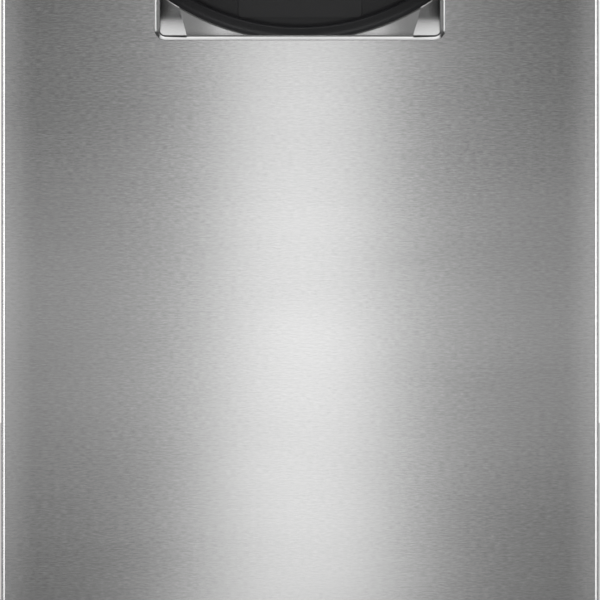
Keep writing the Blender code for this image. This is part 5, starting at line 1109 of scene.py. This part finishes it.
chain_low, chain_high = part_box("drive_chain")
chain_z = (chain_low.z + chain_high.z) / 2
tip = (chain_high.z - chain_low.z) / 2 - 0.1 * MM
pin_profile = [(0.7 * PIN_RADIUS, -tip), (PIN_RADIUS, PIN_DOME - tip)]
pin_profile += [(PIN_RADIUS, tip - PIN_DOME), (0.7 * PIN_RADIUS, tip)]
plates, rollers = bmesh.new(), bmesh.new()
for k, pin in enumerate(pins):
    following = pins[(k + 1) % CHAIN_LINKS]
    lift = INNER_HALF if k % 2 else INNER_HALF + PLATE_SHEET + PLATE_GAP
    for bottom in (chain_z + lift, chain_z - lift - PLATE_SHEET):
        link_plate(plates, pin, following, bottom)
    place = Vector((pin.x, pin.y, chain_z))
    spin(rollers, [(ROLLER_RADIUS, -ROLLER_HALF), (ROLLER_RADIUS, ROLLER_HALF)], place, sides=10)
    spin(rollers, pin_profile, place, sides=8)
settle(mesh_object("chain_plates", plates, MACHINED, 30), "drive_chain")
attach(mesh_object("chain_rollers", rollers, MACHINED, 40), "cabinet")
print("plates and rollers:", 2 * CHAIN_LINKS, CHAIN_LINKS)

# %% [markdown]
# ## Levelling feet
# Each foot is a pressed pad on a threaded stem with a hexagon above it, so that it can be turned with a
# spanner under the machine. The thread is a fine one, and the pad's edge is rounded so that it can slide.
# The function that made the power screws makes these threads too, with one start.

# %% Feet
# (radius, height[, shape]) rings in mm
FOOT_PAD = [(16.5, 0), (17.6, 0.6), (18.0, 1.6), (17.8, 3.6), (16.6, 4.6), (13.0, 5.6), (10.5, 6.0)]
FOOT_HEX = [(8.0, 6.0), (8.66, 6.6, "hexagon"), (8.66, 13.3, "hexagon"), (7.6, 14.0), (4.9, 14.0)]
FOOT_PITCH = 1.5 * MM
FOOT_THREAD_FROM = 14 * MM
STEM_RADIUS = 5.0 * MM
STEM_ROOT = STEM_RADIUS - 0.8 * MM
STEM_TIP = STEM_RADIUS - 1.4 * MM
foot_rings = [(r * MM, h * MM, *shape) for r, h, *shape in FOOT_PAD + FOOT_HEX]

for end in ("front", "rear"):
    for side in ("left", "right"):
        node = f"levelling_foot_{end}_{side}"
        foot_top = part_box(node)[1].z
        centre = middle(node)
        foot = Vector((centre.x, centre.y, 0))
        work = bmesh.new()
        spin(work, foot_rings, foot)
        low, high = FOOT_THREAD_FROM, foot_top - 1 * MM
        threaded(work, centre, low, high, STEM_RADIUS, STEM_ROOT, FOOT_PITCH, starts=1, sides=16)
        spin(work, [(STEM_ROOT, foot_top - 1.2 * MM), (STEM_TIP, foot_top)], foot)
        settle(mesh_object(node + "_turned", work, ZINC, 35), node)
print("foot height, mm:", round(foot_top / MM))

# %% [markdown]
# ## Motor
# An induction motor in a pressed can. Long bolts through both end bells hold it together, the can is drawn
# in a little where it grips the core, and air leaves by slots round the upper bell. The starting capacitor
# and its leads aren't modelled. The slots could be cut through the can, but nothing shows behind them, so
# it is enough to inset some of its own faces and push them in.

# %% Motor can
motor_low, motor_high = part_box("motor_housing")
motor_axis = Vector((*middle("motor_housing").xy, 0))
CAN = (motor_high.x - motor_low.x) / 2
BELL = 48 * MM
BELL_HEIGHT = 16 * MM
GRIP_FROM, GRIP_TO, GRIP_IN = 46 * MM, 105 * MM, 1 * MM
MOTOR_SIDES = 72
SLOPE = -8  # the ring at the foot of the upper bell's slope, counted from the last
SLOT_MARGIN, SLOT_DEEP = 0.9 * MM, 2.4 * MM
WEB_EVERY = 3


def motor_rings():
    """(radius, height) pairs from the shaft's bore below to the middle of the upper bell."""
    low, high = motor_low.z, motor_high.z
    under, over = low + BELL_HEIGHT, high - BELL_HEIGHT
    rings = [(9 * MM, low), (14 * MM, low + 0.2 * MM), (16 * MM, low + 0.2 * MM), (BELL - 2 * MM, low)]
    rings += [(BELL, low + 1.5 * MM), (CAN - 3 * MM, under - 4 * MM), (CAN - 2.6 * MM, under)]
    rings += [(CAN - 0.4 * MM, under + 0.6 * MM), (CAN, under + 2 * MM)]
    rings += [(CAN, low + GRIP_FROM), (CAN - GRIP_IN, low + GRIP_FROM + 0.8 * MM)]
    rings += [(CAN - GRIP_IN, low + GRIP_TO - 1 * MM), (CAN, low + GRIP_TO)]
    rings += [(CAN, over - 2 * MM), (CAN - 0.4 * MM, over - 0.6 * MM)]
    rings += [(CAN - 2.6 * MM, over), (CAN - 2.9 * MM, over + 2 * MM)]
    rings += [(BELL + 1 * MM, high - 3 * MM), (BELL - 1 * MM, high - 0.8 * MM), (BELL - 4 * MM, high)]
    rings += [(24 * MM, high), (22 * MM, high - 1.6 * MM), (12 * MM, high - 1.6 * MM), (10 * MM, high)]
    return rings


work = bmesh.new()
rows = spin(work, motor_rings(), motor_axis, sides=MOTOR_SIDES)
slope = set(rows[SLOPE] + rows[SLOPE + 1])
slope_faces = [face for face in work.faces if slope.issuperset(face.verts)]
slots_cut = [face for i, face in enumerate(slope_faces) if i % WEB_EVERY]
bmesh.ops.inset_individual(work, faces=slots_cut, thickness=SLOT_MARGIN, depth=0)
for face in slots_cut:
    inward = motor_axis - face.calc_center_median()
    inward.z = -6 * MM  # the slots lean down a little
    for vert in face.verts:
        vert.co += inward.normalized() * SLOT_DEEP
settle(mesh_object("motor_can", work, ENAMEL, 28), "motor_housing")
print("motor air slots:", len(slots_cut))

# %% Motor bolts
MOTOR_BOLT = 3.5 * MM
BOLT_CIRCLE = 43 * MM
PLATE_INSET = 7 * MM
bolt_circle = []
for angle in (math.radians(45 + 90 * i) for i in range(4)):
    reach = BOLT_CIRCLE * Vector((math.cos(angle), math.sin(angle), 0))
    bolt_circle.append(motor_axis + reach + motor_high.z * UP)
fasteners("motor_bolts", hex_screw, bolt_circle, UP, MOTOR_BOLT, "cabinet")
low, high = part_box("motor_plate")
plate_bolts = grid(inside(low.x, high.x, PLATE_INSET), inside(low.y, high.y, PLATE_INSET), high.z)
fasteners("motor_plate_bolts", hex_screw, plate_bolts, UP, MOTOR_BOLT, "cabinet")

# %% [markdown]
# ## Ram
# The ram's steel box hangs from the crosshead on two rows of bolts, and rivets close the seams of its
# sides. Its plate is held from below by four shallow carriage bolts that leave no edge for litter. The
# heads could be copies set out by an array, but a list of places says plainly where they are.

# %% Ram fasteners
CROSS_BOLTS = (-125 * MM, -62 * MM, 0.0, 62 * MM, 125 * MM)
CROSS_INSET = 12 * MM
DOME_X, DOME_INSET = 95 * MM, 40 * MM
RIVET_INSET = 20 * MM
RIVET_LEVELS = (30 * MM, 90 * MM, 150 * MM, 210 * MM, 270 * MM)
DOME_STEPS = 5
DOME_RISE = 0.22  # a dome's height, as a share of its radius

low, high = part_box("ram_crosshead")
cross_bolts = grid(CROSS_BOLTS, inside(low.y, high.y, CROSS_INSET), high.z)
fasteners("crosshead_bolts", hex_screw, cross_bolts, UP, 3.6 * MM, "ram")


def carriage_head(work, place, axis, radius):
    """A shallow dome with no recess."""
    arc = [math.radians(90 * i / DOME_STEPS) for i in range(DOME_STEPS)]
    spin(work, [(radius * math.cos(a), DOME_RISE * radius * math.sin(a)) for a in arc], place, axis)


low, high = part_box("ram_plate")
domes = grid((-DOME_X, DOME_X), inside(low.y, high.y, DOME_INSET), low.z)
fasteners("ram_plate_bolts", carriage_head, domes, -UP, 8 * MM, "ram")
low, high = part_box("ram_housing")
work = bmesh.new()
for x, outward in ((low.x, -RIGHT), (high.x, RIGHT)):
    for y in inside(low.y, high.y, RIVET_INSET):
        for level in RIVET_LEVELS:
            carriage_head(work, Vector((x, y, low.z + level)), outward, 3.2 * MM)
attach(mesh_object("ram_rivets", work, ZINC, 40), "ram")
print("ram_rivets", 4 * len(RIVET_LEVELS))

# %% [markdown]
# ## Bin and drawer
# The bin is drawn from enamelled sheet, and upright ribs pressed into its long walls stop them from bulging
# when the ram comes down. Behind the steel front, two upright beads and two level ones stiffen the inner
# panel, and screws down both sides of it hold the front together over the felt. A bead could be a bump in
# the finish, but it throws a shadow, so it is drawn as rings that rise from the sheet.

# %% Raised beads
BEAD_TOP = 0.35  # how much of its width a bead still has at its highest
BEAD_STEPS = 4
BEAD_END_STEPS = 8


def raised_bead(work, centre, across, along, out, half_length, half_width, proud):
    """A pressed bead with round ends, whose section is a soft hump."""
    loops = []
    for step in range(BEAD_STEPS + 1):
        angle = math.radians(90 * step / BEAD_STEPS)
        width = half_width * (BEAD_TOP + (1 - BEAD_TOP) * math.cos(angle))
        lift = out * proud * math.sin(angle)
        loop = []
        for sign in (1, -1):
            end = centre + along * sign * (half_length - half_width)
            for turn in range(BEAD_END_STEPS + 1):
                swing = math.radians(180 * turn / BEAD_END_STEPS - 90)
                round_end = along * math.cos(swing) + across * math.sin(swing)
                loop.append(end + sign * width * round_end + lift)
        loops.append(loop)
    rows = add_rings(work, loops)
    work.faces.new(rows[-1])


print("bead points:", 2 * (BEAD_STEPS + 1) * (BEAD_END_STEPS + 1))

# %% Bin ribs
RIB_COUNT = 6
RIB_HALF_WIDTH, RIB_HALF_LENGTH, RIB_PROUD = 6 * MM, 115 * MM, 1.0 * MM
RIB_MIDDLE = 190 * MM  # above the bin's underside
BIN_RIM = 4 * MM

bin_low, bin_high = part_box("bin")
work = bmesh.new()
for side in LEFT_RIGHT:
    for i in range(RIB_COUNT):
        y = bin_low.y + (bin_high.y - bin_low.y) * (i + 1) / (RIB_COUNT + 1)
        centre = Vector((side * (bin_high.x - BIN_RIM), y, bin_low.z + RIB_MIDDLE))
        raised_bead(work, centre, REAR, UP, side * RIGHT, RIB_HALF_LENGTH, RIB_HALF_WIDTH, RIB_PROUD)
attach(mesh_object("bin_ribs", work, BIN_ENAMEL, 45), "drawer")
print("bin ribs:", 2 * RIB_COUNT)

# %% Inner panel
BEAD_X, BEAD_RISE = 150 * MM, 60 * MM  # from the panel's middle
UPRIGHT_HALF, LEVEL_HALF = 190 * MM, 120 * MM
BEAD_HALF_WIDTH, BEAD_PROUD = 5 * MM, 1.4 * MM
ABOVE_BIN = (80 * MM, 220 * MM)
PANEL_SCREWS = (0.03, 0.22, 0.41, 0.6, 0.79, 0.97)  # shares of the panel's height
PANEL_INSET = 9 * MM

low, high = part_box("drawer_inner_panel")
work = bmesh.new()
for side in LEFT_RIGHT:
    place = Vector((side * BEAD_X, high.y, middle("drawer_inner_panel").z + BEAD_RISE))
    raised_bead(work, place, RIGHT, UP, REAR, UPRIGHT_HALF, BEAD_HALF_WIDTH, BEAD_PROUD)
for above in ABOVE_BIN:
    place = Vector((0, high.y, bin_high.z + above))
    raised_bead(work, place, UP, RIGHT, REAR, LEVEL_HALF, BEAD_HALF_WIDTH, BEAD_PROUD)
attach(mesh_object("inner_panel_beads", work, GALVANISED, 45), "drawer")
panel_screws = []
for side in LEFT_RIGHT:
    for share in PANEL_SCREWS:
        place = Vector((side * (high.x - PANEL_INSET), high.y, low.z + share * (high.z - low.z)))
        panel_screws.append(place)
fasteners("inner_panel_screws", pan_screw, panel_screws, REAR, 3.0 * MM, "drawer")

# %% [markdown]
# ## Cabinet's back
# The back is a flat galvanised panel, stiffened by two upright beads and screwed to the wrapper's flanges
# all round. The functions that made the beads and the screws of the drawer make these too.

# %% Back panel
REAR_INSET = 8 * MM
REAR_LEVELS = 8
REAR_X = (-90 * MM, 0.0, 90 * MM)
REAR_BEAD_X, REAR_BEAD_Z, REAR_BEAD_HALF = 85 * MM, 430 * MM, 210 * MM
REAR_BEAD_HALF_WIDTH, REAR_BEAD_PROUD = 9 * MM, 1.8 * MM

rear_low, rear_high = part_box("rear_panel")
tall = rear_high.z - rear_low.z - 2 * REAR_INSET
levels = [rear_low.z + REAR_INSET + tall * i / (REAR_LEVELS - 1) for i in range(REAR_LEVELS)]
edge_x = rear_high.x - REAR_INSET
rear_screws = [Vector((side * edge_x, rear_high.y, z)) for side in LEFT_RIGHT for z in levels]
rear_screws += [Vector((x, rear_high.y, z)) for x in REAR_X for z in (levels[0], levels[-1])]
fasteners("rear_panel_screws", hex_screw, rear_screws, REAR, 3.2 * MM, "cabinet")
work = bmesh.new()
for side in LEFT_RIGHT:
    centre = Vector((side * REAR_BEAD_X, rear_high.y, REAR_BEAD_Z))
    raised_bead(work, centre, RIGHT, UP, REAR, REAR_BEAD_HALF, REAR_BEAD_HALF_WIDTH, REAR_BEAD_PROUD)
attach(mesh_object("rear_panel_beads", work, GALVANISED, 45), "cabinet")

# %% [markdown]
# ## Fan's grille
# The fan blows out through a slot in the back. A moulded grille frames the slot, and its bars, which lean
# outwards at the top, send the air upwards and keep fingers out of it. It could be cut out of a plate.
# Instead the frame is a set of rings round the slot, and each bar is a section drawn from side to side,
# because only the bars' lean shows.

# %% Fan's grille
VENT_X, VENT_Z = (56 * MM, 78 * MM), (714 * MM, 754 * MM)  # the slot in the panel
VENT_CORNER = 2 * MM
# Sections in mm: the rim's as (margin, out), a bar's as (out, up)
GRILLE_RIM = ((5.0, 0.0), (5.0, 1.4), (4.4, 2.0), (0.0, 2.0), (-0.4, 1.4), (-0.4, -1.5))
GRILLE_BAR = ((-1.6, -1.0), (-0.6, 0.9), (0.0, 1.2), (0.5, 0.9), (-0.4, -1.2))
GRILLE_BARS = 7
vent_x, vent_half = sum(VENT_X) / 2, (VENT_X[1] - VENT_X[0]) / 2
vent_y = rear_high.y


def vent_loop(margin, out):
    """An outline round the slot, with a margin, proud of the panel."""
    corner = VENT_CORNER + max(0, margin)
    flat = rounded_loop(vent_half + margin, VENT_Z[0] - margin, VENT_Z[1] + margin, corner, vent_y + out)
    return [(vent_x + x, y, z) for x, y, z in flat]


work = bmesh.new()
add_rings(work, [vent_loop(margin * MM, out * MM) for margin, out in GRILLE_RIM])
for i in range(GRILLE_BARS):
    z = VENT_Z[0] + (VENT_Z[1] - VENT_Z[0]) * (i + 0.5) / GRILLE_BARS
    section = [(vent_y + out * MM, z + rise * MM) for out, rise in GRILLE_BAR]
    rows = add_rings(work, [[(x, *point) for point in section] for x in VENT_X])
    work.faces.new(rows[0])
    work.faces.new(rows[1])
attach(mesh_object("fan_grille", work, ABS, 35), "cabinet")
print("grille bars:", GRILLE_BARS)

# %% [markdown]
# ## Cabinet's sides
# The wrapper is held to the base pan by a row of screws along the bottom of each side, with one more near
# each upper corner. Two screws hold the toe kick. Their places are listed once and used on both sides,
# since the wrapper is symmetrical.

# %% Side and toe-kick screws
LOW_SCREWS = (-235 * MM, -90 * MM, 60 * MM, 210 * MM, 285 * MM)
LOW_Z, HIGH_Z = 50 * MM, 840 * MM
KICK_X, KICK_Z = 150 * MM, 75 * MM

side_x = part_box("cabinet_wrapper")[1].x
spots = [(y, LOW_Z) for y in LOW_SCREWS] + [(285 * MM, HIGH_Z), (-245 * MM, HIGH_Z)]
for side, word in zip(LEFT_RIGHT, ("left", "right")):
    places = [Vector((side * side_x, y, z)) for y, z in spots]
    fasteners("wrapper_screws_" + word, hex_screw, places, side * RIGHT, 2.3 * MM, "cabinet")
kick_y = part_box("toe_kick")[0].y
kick_screws = [Vector((side * KICK_X, kick_y, KICK_Z)) for side in LEFT_RIGHT]
fasteners("toe_kick_screws", pan_screw, kick_screws, -REAR, 3.0 * MM, "cabinet")

# %% [markdown]
# ## Pedal
# The foot pedal is a moulded plate with five ribs across it, for grip under a wet shoe. The ribs could be
# raised out of the plate's own mesh, but the raised beads of the sheet parts have just such soft ends, so
# they are used again.

# %% Pedal tread
TREAD_TOP = 84.3 * MM
TREAD_RIBS = 5
TREAD_FROM, TREAD_STEP = 6.5 * MM, 5.6 * MM  # from the plate's front edge
TREAD_SUNK = 0.15 * MM
TREAD_HALF, TREAD_HALF_WIDTH, TREAD_PROUD = 38 * MM, 1.4 * MM, 1.0 * MM

pedal_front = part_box("foot_pedal")[0].y
work = bmesh.new()
for i in range(TREAD_RIBS):
    centre = Vector((0, pedal_front + TREAD_FROM + TREAD_STEP * i, TREAD_TOP - TREAD_SUNK))
    raised_bead(work, centre, REAR, RIGHT, UP, TREAD_HALF, TREAD_HALF_WIDTH, TREAD_PROUD)
attach(mesh_object("pedal_tread", work, ABS, 50), "pedal")
print("tread ribs:", TREAD_RIBS)

# %% [markdown]
# ## Console marks
# The glossy inlay is printed from behind in white. The key knob has OFF and ON, a tick for each, a fine arc
# between them and a white line on its grip. The start button has a small triangle, and the fan's rocker the
# usual line and circle. The letters are the plain built-in font, turned into thin solids so that they hold
# in any light. An image on the inlay would do too, but it would blur from close by.

# %% Words
MARK_THICK = 0.08 * MM
LETTER = 4.6 * MM
DIAL_RADIUS = 18.9 * MM
OFF_LEFT, ON_RIGHT = 8.4 * MM, 6.4 * MM
START_DOWN, FAN_LEFT = 17.5 * MM, 17 * MM

inlay_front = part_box("control_inlay")[0].y
knob, button = middle("key_knob"), middle("start_button")
rocker, lens = middle("fan_rocker"), middle("indicator_lens")


def mark_text(name, words, x, z):
    """Printed words, centred at a place on the inlay."""
    curve = bpy.data.curves.new(name, "FONT")
    curve.body = words
    curve.size = LETTER
    curve.align_x, curve.align_y = "CENTER", "CENTER"
    curve.extrude = MARK_THICK / 2
    curve.resolution_u = 4
    flat = bpy.data.objects.new(name, curve)
    scene.collection.objects.link(flat)
    mesh = bpy.data.meshes.new_from_object(flat.evaluated_get(bpy.context.evaluated_depsgraph_get()))
    bpy.data.objects.remove(flat)
    upright = Matrix.Rotation(math.pi / 2, 4, "X")
    mesh.transform(Matrix.Translation((x, inlay_front - MARK_THICK / 2, z)) @ upright)
    mesh.materials.clear()
    mesh.materials.append(INK)
    printed = bpy.data.objects.new(name, mesh)
    scene.collection.objects.link(printed)
    return attach(printed, "cabinet")


mark_text("mark_off", "OFF", knob.x - OFF_LEFT, knob.z + DIAL_RADIUS)
mark_text("mark_on", "ON", knob.x + DIAL_RADIUS + ON_RIGHT, knob.z)
mark_text("mark_start", "START", button.x, knob.z - START_DOWN)
mark_text("mark_fan", "FAN", rocker.x - FAN_LEFT, rocker.z)
print("letters, mm:", round(LETTER / MM, 1))

# %% Dial
KNOB_SWING = math.radians(90)  # from OFF, upright, to ON
TICK_HALF_WIDTH, TICK_HALF = 0.3 * MM, 1.5 * MM
ARC_HALF_WIDTH = 0.15 * MM
ARC_CLEAR = math.radians(8)  # left free at each tick
ARC_POINTS = 21
BAR_ROUND = 0.6  # a bar's corner, as a share of its half width
POINTER_HALF_WIDTH, POINTER_HALF, POINTER_THICK = 0.7 * MM, 4.6 * MM, 0.15 * MM
POINTER_RISE, POINTER_SUNK = 9.6 * MM, 0.05 * MM


def bar_mark(work, x, z, half_x, half_z, y, thick=MARK_THICK, turn=0.0):
    """A printed bar with rounded corners, turned about its own middle."""
    spun = Matrix.Rotation(turn, 3, "Y")
    flat = rounded_loop(half_x, -half_z, half_z, min(half_x, half_z) * BAR_ROUND, 0)
    loops = [[Vector((x, y - depth, z)) + spun @ Vector(p) for p in flat] for depth in (0, thick)]
    rows = add_rings(work, loops)
    work.faces.new(rows[1])


def on_dial(reach, angle, y):
    """A place round the knob, by its angle from upright."""
    return Vector((knob.x + reach * math.sin(angle), y, knob.z + reach * math.cos(angle)))


work = bmesh.new()
for angle in (0, KNOB_SWING):
    tick = on_dial(DIAL_RADIUS, angle, inlay_front)
    bar_mark(work, tick.x, tick.z, TICK_HALF_WIDTH, TICK_HALF, inlay_front, turn=angle)
span = KNOB_SWING - 2 * ARC_CLEAR
sweep = [ARC_CLEAR + span * i / (ARC_POINTS - 1) for i in range(ARC_POINTS)]
band = [(DIAL_RADIUS + ARC_HALF_WIDTH, angle) for angle in sweep]
band += [(DIAL_RADIUS - ARC_HALF_WIDTH, angle) for angle in reversed(sweep)]
levels = (inlay_front, inlay_front - MARK_THICK)
rows = add_rings(work, [[on_dial(reach, angle, y) for reach, angle in band] for y in levels])
work.faces.new(rows[1])
attach(mesh_object("knob_ticks", work, INK, 30), "cabinet")
work = bmesh.new()
grip_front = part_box("key_knob")[0].y + POINTER_SUNK
pointer_z = knob.z + POINTER_RISE
bar_mark(work, knob.x, pointer_z, POINTER_HALF_WIDTH, POINTER_HALF, grip_front, POINTER_THICK)
attach(mesh_object("knob_pointer", work, INK, 30), "knob")
print("dial radius, mm:", round(DIAL_RADIUS / MM, 1))

# %% Button, lens and rocker
# (radius, height) rings in mm
TRIANGLE = ((2.6, 0), (2.4, MARK_THICK / MM))
LENS_RING = ((5.0, 0), (5.0, 0.5), (4.7, 0.8), (4.0, 0.8), (3.7, 0.5), (3.7, 0))
CIRCLE = ((2.1, -0.1), (2.1, 0.25), (1.5, 0.25), (1.5, -0.1))
# How far each of the rocker's marks stands from its end and behind its front, since its face leans
LINE_DOWN, LINE_BACK = 5.5 * MM, 1.95 * MM
CIRCLE_UP, CIRCLE_BACK = 5.0 * MM, 4.0 * MM
LINE_HALF_WIDTH, LINE_HALF, LINE_THICK = 0.4 * MM, 2.0 * MM, 0.25 * MM


def facing(work, rings, place, sides):
    """A turned mark that faces forwards."""
    spin(work, [(r * MM, h * MM) for r, h in rings], place, -REAR, sides)


def open_ends(work, sides):
    """Take off the flat ends of a ring, so that its middle stays open."""
    ends = [face for face in work.faces if len(face.verts) == sides]
    bmesh.ops.delete(work, geom=ends, context="FACES_ONLY")


work = bmesh.new()
facing(work, TRIANGLE, Vector((button.x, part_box("start_button")[0].y, button.z)), 3)
attach(mesh_object("button_mark", work, INK, 20), "button")
work = bmesh.new()
facing(work, LENS_RING, Vector((lens.x, inlay_front, lens.z)), 32)
open_ends(work, 32)
attach(mesh_object("lens_ring", work, SATIN, 40), "cabinet")
low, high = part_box("fan_rocker")
work = bmesh.new()
bar_mark(work, rocker.x, high.z - LINE_DOWN, LINE_HALF_WIDTH, LINE_HALF, low.y + LINE_BACK, LINE_THICK)
facing(work, CIRCLE, Vector((rocker.x, low.y + CIRCLE_BACK, low.z + CIRCLE_UP)), 24)
open_ends(work, 24)
attach(mesh_object("rocker_marks", work, INK, 40), "rocker")

# %% [markdown]
# ## Junction box, filter and top frame
# Two screws hold the junction box's lid. The charcoal filter sits in a moulded frame with a grid that keeps
# the granules in. Four bolts under the top frame, two beside each power screw, hold the upper bearings. The
# grid could be a lattice cut out of a sheet. Here it is a row of the same rounded bars as the printed
# marks, crossed by a second row, which takes no new function.

# %% Junction box and filter
FILTER_EDGE = 6 * MM
FILTER_CORNER = 3 * MM
# (margin, back) sections in mm, from the frame's rear edge over its face to the opening
FILTER_FRAME = ((0.6, 4.0), (0.6, 0.0), (0.0, -0.8), (-6.0, -0.8), (-6.4, 0.0))
GRID = 6
GRID_HALF_WIDTH, UPRIGHT_THICK, LEVEL_THICK = 0.9 * MM, 0.7 * MM, 0.6 * MM

low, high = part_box("junction_box")
lid = [Vector((x, low.y, middle("junction_box").z)) for x in inside(low.x, high.x, 8 * MM)]
fasteners("junction_screws", pan_screw, lid, -REAR, 2.6 * MM, "cabinet")
low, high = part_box("filter_cartridge")
middle_z = (low.z + high.z) / 2
half = (high.x - low.x) / 2
open_half = half - FILTER_EDGE
work = bmesh.new()
loops = []
for margin, back in FILTER_FRAME:
    grow = margin * MM
    corner = FILTER_CORNER + max(0, grow)
    loops.append(rounded_loop(half + grow, low.z - grow, high.z + grow, corner, low.y + back * MM))
add_rings(work, loops)
for i in range(1, GRID):
    share = -half + 2 * half * i / GRID
    bar_mark(work, share, middle_z, GRID_HALF_WIDTH, open_half, low.y, UPRIGHT_THICK)
    bar_mark(work, 0, middle_z + share, open_half, GRID_HALF_WIDTH, low.y, LEVEL_THICK)
attach(mesh_object("filter_frame", work, ABS, 35), "cabinet")
print("filter bars:", 2 * (GRID - 1))

# %% Top frame bolts
BEARING_BOLT_X, BEARING_BOLT_Y = 22 * MM, 28 * MM
frame_mid = middle("top_frame")
screw_x = abs(middle("power_screw_left").x) - BEARING_BOLT_X
frame_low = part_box("top_frame")[0].z
rows_y = (frame_mid.y - BEARING_BOLT_Y, frame_mid.y + BEARING_BOLT_Y)
bearing_bolts = grid((-screw_x, screw_x), rows_y, frame_low)
fasteners("top_frame_bolts", hex_screw, bearing_bolts, -UP, 3.2 * MM, "cabinet")

# %% [markdown]
# ## Felt pad
# Behind the steel front lies a pad of felt that deadens its ring. The steel in front of it and the inner
# panel behind it press it flat, so it is full to its edges, with only a soft round on them. It can't be
# seen while the drawer's front is whole, and is made so that the front isn't hollow.

# %% Pad
dress("sound_pad", 1.5 * MM)

# %% [markdown]
# ## The rest of the solids
# Every solid that no piece stands for yet gets its soft edges and the finish of its slot. Plain sheets,
# blocks and bushes need no more than that.

# %% Dress what is left
for node in sorted(nodes):
    if not nodes[node].hide_render:
        dress(node)
